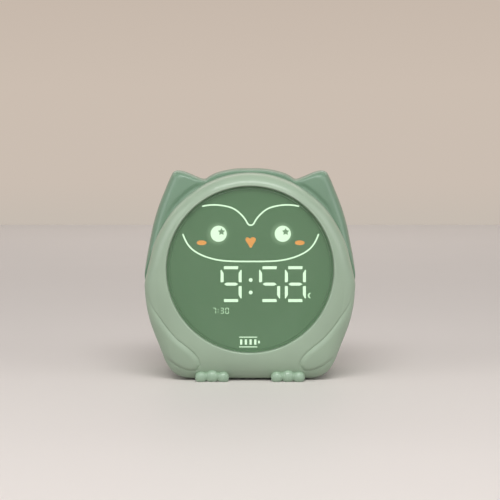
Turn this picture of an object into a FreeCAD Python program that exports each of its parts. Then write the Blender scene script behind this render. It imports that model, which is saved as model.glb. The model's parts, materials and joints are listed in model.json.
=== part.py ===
import FreeCAD, Part
import math
import os

# An owl-shaped bedside alarm clock with a night light, in millimetres.
# +Z is up, the display faces -Y, and the origin is at the bottom centre of the box.

V = FreeCAD.Vector

# Overall depths, measured back from the foremost plane of the clock
DEPTH = 74.0
BUTTON_PROUD = 1.0
PARTING_DEPTH = 18.0
EDGE_DEPTH = 9.0
WALL = 2.2
BODY_LIFT = 0.6

# Front outline, as a circle round the lens that widens towards the belly
LENS_Z = 64.0
RING_R = 54.6
BELLY_FLARE = ((-90, 29.0), (-75, 28.0), (-60, 23.7), (-48, 17.8), (-38, 12.1), (-26, 8.8), (-14, 6.3),
               (-5, 5.1), (4, 3.2), (14, 2.2), (26, 1.1), (40, 0.5), (58, 0.0), (90, 0.0))
BASE_CORNER = 10.0
WALL_DRAFT = 0.5

# Rear shell, its ears and its rounded back
DOME_STEP = ((-90, 0.0), (-14, 0.0), (-3, 1.7), (8, 2.6), (20, 2.2), (40, 2.4), (60, 1.8), (68, 2.7),
             (76, 2.5), (84, 2.1), (90, 1.8))
EAR_SIDE_R = ((5, 58.2), (15, 59.8), (28, 62.0), (40.4, 65.5), (49.5, 69.7), (58, 74.2))
EAR_EDGE_ANGLE = 23.6
EAR_EDGE_REACH = 35.2
EAR_TIP_ROUND = 10.0
EAR_VALLEY_ROUND = 1.9
EAR_RIDGE_DEPTH = 26.0
EAR_END_DEPTH = 58.0
FRONT_ROUND = ((-90, 0.0), (-8, 0.0), (6, 2.0), (20, 5.0), (40, 5.5), (54, 5.0), (58, 4.2), (62, 1.8),
               (90, 1.5))
BACK_CENTRE_Z = 60.0
BACK_SCALE = 0.74
BACK_START_TOP = 34.0
BACK_START_BASE = 46.0

# Display stack
LENS_OPENING_R = 47.3
LENS_GAP = 0.3
LENS_T = 2.0
LENS_SINK = 1.0
LIP_CHAMFER = 0.7
FILM_T = 0.3
LEDGE_W = 1.3
LEDGE_T = 1.5
STACK_GAP = 0.25
LIGHT_BOX_T = 4.5
LIGHT_BOX_RIM = 1.4
BOARD_T = 1.6
BOARD_R = 44.0
DIFFUSER_T = 2.0
DISPLAY_LED_W = 0.9
DISPLAY_LED_T = 0.7
BOX_EAR_R = 3.0
BOX_EAR_REACH = 50.6
BOX_EAR_ANGLES = (2.0, 178.0, -62.0, -118.0)
BOX_SCREW_DEPTH = 2.6
DISPLAY_CHIPS = ((-23.0, -3.0, 10.0, 10.0, 1.5), (22.0, -3.0, 8.0, 6.0, 1.2))
RESISTOR_W = 2.0
RESISTOR_H = 1.2
RESISTOR_T = 0.8
RESISTOR_PITCH = 5.0
RESISTOR_COUNT = 6
RESISTOR_DROP = 15.4

# Screws: shank radius, head radius, head height and the play round a shank
SMALL_SCREW_R = 1.0
SMALL_HEAD_R = 2.0
SMALL_HEAD_T = 1.2
CASE_SCREW_R = 1.5
CASE_HEAD_R = 2.7
CASE_HEAD_T = 2.0
SCREW_PLAY = 0.05
TIP_PLAY = 0.2
HOLE_PLAY = 0.2

# Case screw columns, placed round the lens
COLUMN_R = 3.2
COLUMN_WALL = 1.6
UPPER_COLUMN_ANGLE = 42.0
UPPER_COLUMN_REACH = 48.4
LOWER_COLUMN_ANGLE = -47.0
LOWER_COLUMN_REACH = 52.0
COLUMN_START = 4.0
COLUMN_END = 30.0
COLUMN_BITE = 9.0
COLUMN_JOINT_GAP = 0.2
SEAT_DEPTH = 40.0

# Wings, raised on the lower sides of the front shell, in X and Z from the lens centre
WING_RISE = 0.9
WING_FADE = ((-90, 1.0), (-10, 1.0), (-2, 0.0), (90, 0.0))
WING_UPPER = ((-64.0, 4.0), (-60.2, -6.5), (-58.6, -12.6), (-56.1, -20.6), (-49.3, -31.3),
              (-42.2, -39.6), (-34.3, -46.0), (-30.0, -50.8), (-29.0, -54.4))
WING_LOWER = ((-29.0, -54.4), (-30.9, -57.3), (-34.6, -57.7), (-39.3, -56.1), (-45.8, -52.2),
              (-51.5, -47.1), (-66.0, -34.0))

# Feet
TOE_XS = (-27.9, -21.6, -15.3)
SIDE_TOE = (3.1, 3.0, 2.95)
MIDDLE_TOE = (3.65, 3.3, 3.45)
TOE_FLAT = 0.15
SOLE_BACK = 17.0
SOLE_INSET = 1.0
INSTEP_H = 4.5
PAD_R = 4.0
PAD_X = 26.0
PAD_DEPTH = 40.0
PAD_SEAT = 0.03

# Printed face and read-out, in X and Z from the lens centre
PRINT_SHIFT = 0.4
LINE_W = 0.85
BROW = ((1.0, 25.5), (2.3, 27.2), (5.5, 31.4), (10.1, 34.8), (14.5, 36.1), (19.3, 36.7), (27.0, 36.0))
MASK = ((0.0, 4.7), (8.6, 4.75), (16.1, 5.2), (23.0, 6.6), (29.1, 9.0), (33.8, 12.3), (36.6, 16.2),
        (38.2, 20.0))
EYE_X = 18.1
EYE_Z = 20.4
EYE_R = 4.55
STAR_R = 2.2
STAR_WAIST = 0.52
STAR_OFFSET = (1.6, 1.1)
BEAK_W = 5.7
BEAK_TOP = 18.4
BEAK_TIP = 12.4
CHEEK_X = 27.7
CHEEK_Z = 15.3
CHEEK_W = 5.5
CHEEK_H = 2.7
DIGIT_XS = {"9": -11.1, "5": 10.7, "8": 25.3}
DIGIT_Z = -8.2
DIGIT_W = 11.9
DIGIT_H = 20.4
SEGMENT_W = 1.7
SEGMENT_GAP = 1.1
SEGMENT_NICK = 0.2
SEGMENT_CORNER = 0.4
SEGMENT_SLANT = 2.1
SEGMENT_TAPER = 1.5
COLON_DROP = 1.2
COLON_Z = 3.55
COLON_R = 1.07
BATTERY_ICON_Z = -41.3
BATTERY_ICON_W = 10.2
BAR_W = 1.2
BAR_H = 3.0
BAR_PITCH = 2.67
BATTERY_LINE = 0.5
BATTERY_LINE_GAP = 1.3
BATTERY_SHIFT = -1.0
BATTERY_TIP_W = 0.9
BATTERY_TIP_H = 1.5
SMALL_TIME_X = -15.6
SMALL_TIME_Z = -23.4
SMALL_DIGIT_H = 3.4
SMALL_DIGIT_W = 2.0
SMALL_STROKE = 0.36
SMALL_STEP = 2.9
SMALL_COLON = 0.45
SMALL_COLON_Z = 0.7
MOON_X = 34.2
MOON_Z = -14.7
MOON_R = 1.5

# Main board, on posts inside the back
MAIN_HALF_W = 31.0
MAIN_BOTTOM = 58.0
MAIN_TOP = 100.0
POST_R = 2.8
POST_INSET = 3.5
PILOT_DEPTH = 4.2
CONTROL_CHIPS = ((-18.0, 22.0, 8.0, 8.0, 1.2), (14.5, 21.0, 5.0, 6.0, 1.5), (-18.0, 7.5, 4.0, 3.0, 1.0),
                 (16.0, 32.0, 4.0, 4.0, 1.8))
CRYSTAL_W = 10.0
CRYSTAL_H = 4.0
CRYSTAL_T = 3.5
CRYSTAL_DROP = 8.0

# Rear buttons and their switches
BUTTON_NAMES = ("mode", "down", "up", "alarm", "light")
BUTTON_R = 4.2
BUTTON_PITCH = 12.0
BUTTON_Z = 86.0
BUTTON_ROUND = 0.5
BUTTON_TRAVEL = 0.5
BUTTON_SPARE = 0.5
RUNNING_GAP = 0.3
FLANGE_W = 1.1
FLANGE_T = 0.9
TACT_W = 6.2
TACT_T = 3.0
TACT_FLOOR = 0.6
TACT_STEM_R = 1.75
TACT_STEM_GAP = 0.15
TACT_STEM_SUNK = 1.4

# USB socket, to the standard's own sizes, and the power switch
USB_X = -20.0
CONTROL_Z = 68.0
USB_IN_W = 8.34
USB_IN_H = 2.56
USB_SHELL_T = 0.3
USB_SUNK = 0.2
USB_DEPTH = 6.2
USB_TONGUE_W = 6.69
USB_TONGUE_H = 0.7
USB_TONGUE_L = 4.4
SWITCH_X = 20.0
SWITCH_W = 9.0
SWITCH_H = 4.4
SWITCH_T = 3.6
KNOB_W = 3.6
KNOB_H = 3.0
KNOB_PROUD = 0.7
KNOB_TRAVEL = 2.5
KNOB_STEM = 1.4
KNOB_STEM_SUNK = 2.0

# Speaker behind a grille
SPEAKER_Z = 36.0
SPEAKER_R = 18.0
SPEAKER_RIM_T = 2.0
SPEAKER_RIM_W = 2.0
SPEAKER_BASKET_T = 5.5
MAGNET_R = 9.0
MAGNET_T = 5.0
CONE_T = 0.5
CONE_ROLL = 2.6
CONE_RISE = 1.2
CONE_DROP = 2.0
CONE_CENTRE_R = 3.0
BASKET_HOLE_R = 2.0
BASKET_FLOOR_T = 1.0
BASKET_WALL = 0.5
GAUZE_T = 0.3
COLLAR_T = 1.5
COLLAR_H = 5.0
GRILLE_PITCH = 3.6
GRILLE_RINGS = 3
GRILLE_HOLE_R = 0.9

# Battery on the floor of the rear shell
BATTERY_W = 50.0
BATTERY_L = 26.0
BATTERY_H = 10.0
BATTERY_FRONT = 20.0
BATTERY_TAPE_T = 1.0
TAPE_SEAT = 0.05
LEAD_X = 18.0
LEAD_R = 0.6
LEAD_PITCH = 2.0
LEAD_BEND = 1.6
BATTERY_TAPE_INSET = 2.0
BATTERY_PLUG_T = 5.0
BATTERY_PLUG_H = 3.6
BATTERY_PLUG_SIDE = 1.5
BATTERY_PLUG_RISE = 5.0
SPEAKER_LEAD_RISE = 14.0
SPEAKER_LEAD_ROOM = 4.0
SPEAKER_LEAD_TOP = 3.0

# Snooze key, its switch and the night light board under the dome
KEY_HALF_W = 14.0
KEY_FRONT = 38.0
KEY_BACK = 52.0
KEY_CORNER = 5.0
KEY_TRAVEL = 0.6
KEY_SPARE = 0.4
KEY_HEADROOM = 1.0
KEY_GAP = 0.35
KEY_FLANGE_T = 1.2
KEY_FLANGE_W = 1.2
KEY_BOSS_R = 3.0
KEY_BOSS_BITE = 0.5
TOP_BOARD_Z = 104.0
TOP_HALF_W = 21.0
TOP_FRONT = 34.0
TOP_BACK = 56.0
TOP_POST_X = 18.0
TOP_POST_R = 2.6
NIGHT_LED = (3.5, 2.8, 1.9)
NIGHT_LED_X = 11.0
NIGHT_LED_SHARES = (0.2, 0.5, 0.8)
TOP_LEAD_X = -6.0
TOP_LEAD_INSET = 4.0
TOP_LEAD_DROP = 5.0

# Ribbon between the two boards
RIBBON_W = 12.0
RIBBON_T = 0.3
RIBBON_Z = 80.0
RIBBON_BEND = 4.0
PLUG_T = 2.4
PLUG_H = 4.0
PLUG_SIDE = 1.5
PLUG_TOP = 74.0

# Values that follow from those above
FRONT_Y = -DEPTH / 2
SHELL_BACK = DEPTH - BUTTON_PROUD
BACK_INNER = SHELL_BACK - WALL
LENS_BACK = LENS_SINK + LENS_T
FILM_BACK = LENS_BACK + FILM_T
LEDGE_BACK = FILM_BACK + LEDGE_T
BOX_BACK = LEDGE_BACK + LIGHT_BOX_T
DISPLAY_BACK = BOX_BACK + BOARD_T
LEDGE_R = LENS_OPENING_R - LEDGE_W
FLOOR_Z = BODY_LIFT + WALL
FLANGE_FRONT = BACK_INNER - RUNNING_GAP - FLANGE_T
MAIN_REAR = FLANGE_FRONT - BUTTON_TRAVEL - BUTTON_SPARE - TACT_T
MAIN_DEPTH = MAIN_REAR - BOARD_T
USB_BACK = SHELL_BACK - USB_SUNK
BUTTON_XS = [(i - (len(BUTTON_NAMES) - 1) / 2) * BUTTON_PITCH for i in range(len(BUTTON_NAMES))]
KEY_MIDDLE = (KEY_FRONT + KEY_BACK) / 2
TOP_MIDDLE = (TOP_FRONT + TOP_BACK) / 2
TOP_BOARD_TOP = TOP_BOARD_Z + BOARD_T

LOWER_ANGLES = [-90, -83, -76, -70, -65, -61, -57.5, -54, -50.5, -47, -42, -36, -29, -21, -13, -5]
FRONT_ANGLES = LOWER_ANGLES + [2 + 8 * i for i in range(12)]
REAR_ANGLES = LOWER_ANGLES + [2, 9, 16, 23, 29, 35, 40, 44, 47, 49.5, 51.5, 53.2, 55, 57, 59.5, 62.5, 66,
                              70, 74.5, 80, 85, 90]


def box(x0, x1, d0, d1, z0, z1):
    """A block between two X, two depths and two heights."""
    return Part.makeBox(x1 - x0, d1 - d0, z1 - z0, V(x0, FRONT_Y + d0, z0))


def chip(x, z, width, height, d0, d1):
    """A block round an X and Z, between two depths."""
    return box(x - width / 2, x + width / 2, d0, d1, z - height / 2, z + height / 2)


def rod(x, z, radius, d0, d1):
    """A round bar that runs straight back."""
    return Part.makeCylinder(radius, d1 - d0, V(x, FRONT_Y + d0, z), V(0, 1, 0))


def post(x, depth, radius, z0, z1):
    """A round bar that stands upright."""
    return Part.makeCylinder(radius, z1 - z0, V(x, FRONT_Y + depth, z0), V(0, 0, 1))


def tube(x, z, outer, inner, d0, d1):
    """A round sleeve that runs straight back."""
    return rod(x, z, outer, d0, d1).cut(rod(x, z, inner, d0 - 1, d1 + 1))


def prism(outline, d0, d1):
    """A closed wire in the XZ plane, pushed straight back."""
    wire = outline.copy()
    wire.translate(V(0, FRONT_Y + d0, 0))
    return Part.Face(wire).extrude(V(0, d1 - d0, 0))


def polygon(points, x=0.0, z=0.0):
    """A closed wire through X, Z corners, moved to x, z."""
    corners = [V(x + px, 0, z + pz) for px, pz in points]
    return Part.makePolygon(corners + corners[:1])


def slot_wire(x, z, width, height):
    """An upright stadium outline, wider than it is high."""
    r = height / 2
    half = width / 2 - r
    top = Part.LineSegment(V(x - half, 0, z + r), V(x + half, 0, z + r)).toShape()
    right = Part.Arc(V(x + half, 0, z + r), V(x + half + r, 0, z), V(x + half, 0, z - r)).toShape()
    low = Part.LineSegment(V(x + half, 0, z - r), V(x - half, 0, z - r)).toShape()
    left = Part.Arc(V(x - half, 0, z - r), V(x - half - r, 0, z), V(x - half, 0, z + r)).toShape()
    return Part.Wire([top, right, low, left])


def fuse_all(shapes):
    """One shape from several that touch or overlap."""
    first = shapes[0]
    return first.multiFuse(shapes[1:]).removeSplitter() if len(shapes) > 1 else first


def group(shapes):
    """Separate solids kept together in one node."""
    solids = [solid for shape in shapes for solid in shape.Solids]
    return solids[0] if len(solids) == 1 else Part.makeCompound(solids)


def curve_value(knots, x):
    """The height at x of a smooth curve through the knots, level at both ends."""
    xs = [knot[0] for knot in knots]
    ys = [knot[1] for knot in knots]
    if x <= xs[0]:
        return ys[0]
    if x >= xs[-1]:
        return ys[-1]
    slopes = [0.0]
    for i in range(1, len(xs) - 1):
        slopes.append((ys[i + 1] - ys[i - 1]) / (xs[i + 1] - xs[i - 1]))
    slopes.append(0.0)
    i = max(j for j in range(len(xs) - 1) if xs[j] <= x)
    span = xs[i + 1] - xs[i]
    t = (x - xs[i]) / span
    start = (1 + 2 * t) * (1 - t) ** 2 * ys[i] + t * (1 - t) ** 2 * span * slopes[i]
    return start + t * t * (3 - 2 * t) * ys[i + 1] + t * t * (t - 1) * span * slopes[i + 1]


def smooth_max(a, b, k):
    """The larger of two values, rounded over where they meet."""
    return max(a, b) + max(k - abs(a - b), 0.0) ** 2 / (4 * k)


def smooth_min(a, b, k):
    """The smaller of two values, rounded off where they meet."""
    return min(a, b) - max(k - abs(a - b), 0.0) ** 2 / (4 * k)


def at_angle(angle, radius):
    """X and Z of a point at an angle and distance from the lens centre."""
    a = math.radians(angle)
    return radius * math.cos(a), LENS_Z + radius * math.sin(a)


def on_base(point, inset=0.0):
    """A point of the outline, kept above the flat base with a round corner."""
    x, z = point
    return x, smooth_max(z, BODY_LIFT + inset, BASE_CORNER)


def front_radius(angle):
    """Distance from the lens centre to the front shell's widest outline."""
    return RING_R + curve_value(BELLY_FLARE, angle)


def dome_radius(angle):
    """Distance from the lens centre to the rear shell, its ears left out."""
    return front_radius(angle) + curve_value(DOME_STEP, angle)


def eared_radius(angle):
    """Distance from the lens centre to the rear shell at the ears' ridge."""
    plain = dome_radius(angle)
    if angle < EAR_SIDE_R[0][0]:
        return plain
    lean = math.radians(angle - 90 - EAR_EDGE_ANGLE)
    edge = EAR_EDGE_REACH / math.cos(lean)
    ear = smooth_min(curve_value(EAR_SIDE_R, angle), edge, EAR_TIP_ROUND)
    return smooth_max(plain, ear, EAR_VALLEY_ROUND)


def mirrored(half):
    """A closed ring of points from its right half, listed from the bottom to the top."""
    return half + [(-x, z) for x, z in half[-2:0:-1]]


def ring_wires(rings):
    """One smooth closed wire for each ring of 3-D points, all with the same spacing."""
    widest = rings[len(rings) // 2]
    lengths = [(widest[(i + 1) % len(widest)] - widest[i]).Length for i in range(len(widest))]
    total = sum(lengths)
    places = [sum(lengths[:i]) / total for i in range(len(lengths))] + [1.0]
    wires = []
    for ring in rings:
        curve = Part.BSplineCurve()
        curve.interpolate(Points=ring, PeriodicFlag=True, Parameters=places)
        wires.append(Part.Wire(curve.toShape()))
    return wires


def skin(rings):
    """A solid through rings of points, closed flat at both ends."""
    return Part.makeLoft(ring_wires(rings), True, False)


def placed(points, depth):
    return [V(x, FRONT_Y + depth, z) for x, z in points]


def front_ring(turn, depth, rise=0.0, inset=0.0):
    """A ring of the front shell's skin, with turn from 0 at the lens to 90 at the side."""
    half = []
    start = LENS_OPENING_R
    across = math.sin(math.radians(turn))
    forward = math.cos(math.radians(turn))
    for angle in FRONT_ANGLES:
        x, z = on_base(at_angle(angle, front_radius(angle)))
        full = math.hypot(x, z - LENS_Z)
        draft = WALL_DRAFT * max(0.0, PARTING_DEPTH - depth) / PARTING_DEPTH
        lift = rise * curve_value(WING_FADE, angle)
        reach = start + (full - draft - start) * across + lift * across - inset
        half.append((x * reach / full, depth - lift * forward, LENS_Z + (z - LENS_Z) * reach / full))
    ring = half + [(-x, d, z) for x, d, z in half[-2:0:-1]]
    return [V(x, FRONT_Y + d, z) for x, d, z in ring]


def front_skin(rise=0.0):
    """The outer form of the front shell, with the wings' skin raised by the rise."""
    rings = [front_ring(-4, 0.0)]
    for turn in (12, 28, 44, 60, 76, 90):
        depth = EDGE_DEPTH * (1 - math.cos(math.radians(turn)))
        rings.append(front_ring(turn, depth, rise))
    side = PARTING_DEPTH - EDGE_DEPTH
    rings.append(front_ring(90, EDGE_DEPTH + side / 2, rise))
    rings.append(front_ring(90, PARTING_DEPTH, rise))
    return skin(rings)


def front_cavity():
    """The space inside the front shell, behind the lens ledge."""
    rings = []
    first = math.degrees(math.acos(1 - LEDGE_BACK / EDGE_DEPTH))
    for i in range(4):
        turn = first + (90 - first) * i / 3
        depth = EDGE_DEPTH * (1 - math.cos(math.radians(turn)))
        rings.append(front_ring(turn, depth, 0.0, WALL))
    side = PARTING_DEPTH - EDGE_DEPTH
    rings.append(front_ring(90, EDGE_DEPTH + side / 2, 0.0, WALL))
    rings.append(front_ring(90, PARTING_DEPTH + 1, 0.0, WALL))
    return skin(rings)


def ear_share(depth):
    """How much of the ears is left at a depth, from 1 at the ridge to 0 behind."""
    if depth <= EAR_RIDGE_DEPTH:
        return 1.0
    t = min(1.0, (depth - EAR_RIDGE_DEPTH) / (EAR_END_DEPTH - EAR_RIDGE_DEPTH))
    return 1 - t * t * (3 - 2 * t)


def rear_ring(depth, ears, rounding=0.0, inset=0.0, step=1.0):
    """A ring of the rear shell's skin at a depth, with step 0 where it only meets the front shell."""
    half = []
    for angle in REAR_ANGLES:
        plain = front_radius(angle) + step * curve_value(DOME_STEP, angle)
        radius = plain + ears * (eared_radius(angle) - plain)
        radius -= rounding * curve_value(FRONT_ROUND, angle)
        x, z = on_base(at_angle(angle, radius))
        share = (math.sin(math.radians(angle)) + 1) / 2
        start = BACK_START_BASE + (BACK_START_TOP - BACK_START_BASE) * share
        t = max(0.0, (depth - start) / (SHELL_BACK - start))
        scale = 1 - (1 - BACK_SCALE) * (1 - math.sqrt(max(0.0, 1 - t * t)))
        x *= scale
        z = BACK_CENTRE_Z + (z - BACK_CENTRE_Z) * scale
        length = math.hypot(x, z - BACK_CENTRE_Z)
        pull = (length - inset) / length
        half.append((x * pull, BACK_CENTRE_Z + (z - BACK_CENTRE_Z) * pull))
    return placed(mirrored(half), depth)


def rear_skin():
    """The outer form of the rear shell."""
    rings = []
    rise = EAR_RIDGE_DEPTH - PARTING_DEPTH
    for share in (0.0, 0.06, 0.2, 0.45, 0.75, 1.0):
        rounding = 1 - math.sqrt(1 - (1 - share) ** 2)
        rings.append(rear_ring(PARTING_DEPTH + rise * share, 1.0, rounding))
    run = SHELL_BACK - EAR_RIDGE_DEPTH
    for share in (0.12, 0.27, 0.42, 0.57, 0.7, 0.81, 0.9, 0.96, 1.0):
        depth = EAR_RIDGE_DEPTH + run * share
        rings.append(rear_ring(depth, ear_share(depth)))
    return skin(rings)


def rear_cavity():
    """The space inside the rear shell, with the ears part hollow."""
    rings = []
    hollow = 0.75
    wall_end = PARTING_DEPTH + WALL
    rings.append(rear_ring(PARTING_DEPTH - 1, 0.0, 0.0, WALL, 0.0))
    rings.append(rear_ring(wall_end, 0.0, 0.0, WALL, 0.0))
    rings.append(rear_ring(wall_end + 2, hollow * 0.4, 0.0, WALL, 0.6))
    run = BACK_INNER - EAR_RIDGE_DEPTH
    for share in (0.0, 0.15, 0.3, 0.45, 0.6, 0.75, 0.88, 1.0):
        depth = EAR_RIDGE_DEPTH + run * share
        rings.append(rear_ring(depth, hollow * ear_share(depth), 0.0, WALL))
    return skin(rings)


def column_places():
    """X and Z of the four case screws."""
    places = []
    for angle, reach in ((UPPER_COLUMN_ANGLE, UPPER_COLUMN_REACH), (LOWER_COLUMN_ANGLE, LOWER_COLUMN_REACH)):
        x, z = at_angle(angle, reach)
        places += [(x, z), (-x, z)]
    return places


def box_ear_places():
    return [at_angle(angle, BOX_EAR_REACH) for angle in BOX_EAR_ANGLES]


def wing_outline(side):
    """The wing's closed outline, side 1 for the right and -1 for the left."""
    edges = []
    for points in (WING_UPPER, WING_LOWER):
        curve = Part.BSplineCurve()
        curve.interpolate(Points=[V(-side * x, 0, LENS_Z + z) for x, z in points])
        edges.append(curve.toShape())
    start = edges[0].Vertexes[0].Point
    end = edges[1].Vertexes[-1].Point
    edges.append(Part.LineSegment(end, start).toShape())
    return Part.Wire(edges)


def make_front_shell(outer):
    raised = front_skin(WING_RISE)
    wings = [raised.common(prism(wing_outline(side), -WING_RISE - 1, PARTING_DEPTH)) for side in (-1, 1)]
    shell = outer.multiFuse(wings).cut(front_cavity())
    for x, z in column_places():
        shell = shell.fuse(rod(x, z, COLUMN_R, COLUMN_START, COLUMN_END))
    for x, z in column_places():
        shell = shell.cut(rod(x, z, CASE_SCREW_R + SCREW_PLAY, COLUMN_END - COLUMN_BITE, COLUMN_END + 1))
    for x, z in box_ear_places():
        shell = shell.cut(rod(x, z, SMALL_SCREW_R + SCREW_PLAY, LEDGE_BACK - BOX_SCREW_DEPTH, LEDGE_BACK + 1))
    shell = shell.cut(rod(0, LENS_Z, LENS_OPENING_R, -2, FILM_BACK))
    shell = shell.cut(rod(0, LENS_Z, LEDGE_R, -2, LEDGE_BACK + 1))
    reach = LIP_CHAMFER + 1
    cone = Part.makeCone(LENS_OPENING_R + reach, LENS_OPENING_R, reach, V(0, FRONT_Y - 1, LENS_Z), V(0, 1, 0))
    return shell.cut(cone)


def main_post_places():
    x = MAIN_HALF_W - POST_INSET
    return [(sx * x, z) for sx in (-1, 1) for z in (MAIN_BOTTOM + POST_INSET, MAIN_TOP - POST_INSET)]


def key_block(z0, z1, grow=0.0):
    """The snooze key's upright outline, as a block with round corners."""
    block = box(-KEY_HALF_W - grow, KEY_HALF_W + grow, KEY_FRONT - grow, KEY_BACK + grow, z0, z1)
    upright = [e for e in block.Edges if abs(e.Vertexes[0].Z - e.Vertexes[-1].Z) > 1e-6]
    return block.makeFillet(KEY_CORNER + grow, upright)


def grille_places():
    """X and Z of the speaker holes, in rings of six more each."""
    places = [(0.0, SPEAKER_Z)]
    for ring in range(1, GRILLE_RINGS + 1):
        for i in range(6 * ring):
            a = 2 * math.pi * i / (6 * ring)
            places.append((ring * GRILLE_PITCH * math.cos(a), SPEAKER_Z + ring * GRILLE_PITCH * math.sin(a)))
    return places


def make_rear_shell(outer):
    tops = DEPTH + 5
    shell = outer.cut(rear_cavity())
    inside = []
    for x, z in column_places():
        sleeve = rod(x, z, COLUMN_R + COLUMN_WALL, COLUMN_END + COLUMN_JOINT_GAP, SHELL_BACK)
        inside.append(sleeve)
    for x, z in main_post_places():
        inside.append(rod(x, z, POST_R, MAIN_REAR, SHELL_BACK))
    collar = tube(0, SPEAKER_Z, SPEAKER_R + HOLE_PLAY + COLLAR_T, SPEAKER_R + HOLE_PLAY,
                  BACK_INNER - COLLAR_H, BACK_INNER + 1)
    inside.append(collar)
    for x in (-TOP_POST_X, TOP_POST_X):
        inside.append(post(x, TOP_MIDDLE, TOP_POST_R, TOP_BOARD_TOP, LENS_Z + RING_R + WALL))
    shell = shell.multiFuse([piece.common(outer) for piece in inside])
    holes = []
    for x, z in column_places():
        holes.append(rod(x, z, CASE_HEAD_R + HOLE_PLAY, SEAT_DEPTH, tops))
        holes.append(rod(x, z, CASE_SCREW_R + HOLE_PLAY, COLUMN_END, tops))
    for x, z in main_post_places():
        holes.append(rod(x, z, SMALL_SCREW_R + SCREW_PLAY, MAIN_REAR - 1, MAIN_REAR + PILOT_DEPTH))
    for x in (-TOP_POST_X, TOP_POST_X):
        holes.append(post(x, TOP_MIDDLE, SMALL_SCREW_R + SCREW_PLAY, TOP_BOARD_TOP - 1,
                          TOP_BOARD_TOP + PILOT_DEPTH))
    for x in BUTTON_XS:
        holes.append(rod(x, BUTTON_Z, BUTTON_R + RUNNING_GAP, BACK_INNER - 1, tops))
    for x, z in grille_places():
        holes.append(rod(x, z, GRILLE_HOLE_R, BACK_INNER - 1, tops))
    gap = 2 * RUNNING_GAP
    usb = slot_wire(USB_X, CONTROL_Z, USB_IN_W + 2 * USB_SHELL_T + gap, USB_IN_H + 2 * USB_SHELL_T + gap)
    holes.append(prism(usb, BACK_INNER - 1, tops))
    half = (KNOB_W + KNOB_TRAVEL) / 2 + RUNNING_GAP
    rise = KNOB_H / 2 + RUNNING_GAP
    holes.append(box(SWITCH_X - half, SWITCH_X + half, BACK_INNER - 1, tops,
                     CONTROL_Z - rise, CONTROL_Z + rise))
    holes.append(key_block(key_flange_z() + KEY_FLANGE_T, LENS_Z + RING_R * 2, KEY_GAP))
    return shell.cut(Part.makeCompound(holes))


def screw_back(x, z, radius, head_r, head_t, head_d, tip_d):
    """A screw driven forwards: its head starts at head_d and its tip is in front, at tip_d."""
    return rod(x, z, head_r, head_d, head_d + head_t).fuse(rod(x, z, radius, tip_d, head_d))


def make_case_screws():
    tip = COLUMN_END - COLUMN_BITE + 1
    return group([screw_back(x, z, CASE_SCREW_R, CASE_HEAD_R, CASE_HEAD_T, SEAT_DEPTH, tip)
                  for x, z in column_places()])


def make_display_screws():
    tip = LEDGE_BACK - BOX_SCREW_DEPTH + TIP_PLAY
    return group([screw_back(x, z, SMALL_SCREW_R, SMALL_HEAD_R, SMALL_HEAD_T, BOX_BACK, tip)
                  for x, z in box_ear_places()])


def make_board_screws():
    screws = []
    for x, z in main_post_places():
        head = rod(x, z, SMALL_HEAD_R, MAIN_DEPTH - SMALL_HEAD_T, MAIN_DEPTH)
        screws.append(head.fuse(rod(x, z, SMALL_SCREW_R, MAIN_DEPTH, MAIN_REAR + PILOT_DEPTH - TIP_PLAY)))
    return group(screws)


def make_top_board_screws():
    top = TOP_BOARD_TOP + PILOT_DEPTH - TIP_PLAY
    screws = []
    for x in (-TOP_POST_X, TOP_POST_X):
        head = post(x, TOP_MIDDLE, SMALL_HEAD_R, TOP_BOARD_Z - SMALL_HEAD_T, TOP_BOARD_Z)
        screws.append(head.fuse(post(x, TOP_MIDDLE, SMALL_SCREW_R, TOP_BOARD_Z, top)))
    return group(screws)


def make_display_lens():
    return rod(0, LENS_Z, LENS_OPENING_R - LENS_GAP, LENS_SINK, LENS_BACK)


def make_lens_tape():
    return tube(0, LENS_Z, LENS_OPENING_R - LENS_GAP, LEDGE_R, LENS_BACK, FILM_BACK)


def stroke(points, width):
    """The outline of a line of even width with round ends, drawn along a smooth curve."""
    curve = Part.BSplineCurve()
    curve.interpolate(Points=[V(x, 0, z) for x, z in points])
    steps = 3 * len(points)
    first = curve.FirstParameter
    last = curve.LastParameter
    sides = ([], [])
    for i in range(steps + 1):
        at = first + (last - first) * i / steps
        run = curve.tangent(at)[0]
        across = V(-run.z, 0, run.x) * (width / 2)
        sides[0].append(curve.value(at) + across)
        sides[1].append(curve.value(at) - across)
    edges = []
    for side in sides:
        line = Part.BSplineCurve()
        line.interpolate(Points=side)
        edges.append(line.toShape())
    caps = []
    for at, sign in ((first, -1), (last, 1)):
        run = curve.tangent(at)[0]
        across = V(-run.z, 0, run.x) * (width / 2)
        middle = curve.value(at)
        caps.append(Part.Arc(middle + across, middle + run * (sign * width / 2), middle - across).toShape())
    return Part.Wire([edges[0], caps[1], edges[1], caps[0]])


def face_line_outlines():
    """The brow, drawn as one line with a V in the middle, and the lower edge of the mask."""
    brow = [(-x, z) for x, z in reversed(BROW)] + list(BROW)
    mask = [(-x, z) for x, z in reversed(MASK[1:])] + list(MASK)
    shift = [[(x + PRINT_SHIFT, LENS_Z + z) for x, z in line] for line in (brow, mask)]
    return [stroke(line, LINE_W) for line in shift]


def circle_wire(x, z, radius):
    return Part.Wire(Part.makeCircle(radius, V(x, 0, z), V(0, 1, 0)))


def eye_places():
    return [(PRINT_SHIFT + sx * EYE_X, LENS_Z + EYE_Z) for sx in (-1, 1)]


def eye_outlines():
    return [circle_wire(x, z, EYE_R) for x, z in eye_places()]


def star_outlines():
    """A five-pointed star on each eye."""
    points = []
    for i in range(10):
        a = math.radians(90 + 36 * i)
        r = STAR_R if i % 2 == 0 else STAR_R * STAR_WAIST
        points.append((r * math.cos(a), r * math.sin(a)))
    return [polygon(points, x + STAR_OFFSET[0], z + STAR_OFFSET[1]) for x, z in eye_places()]


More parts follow.
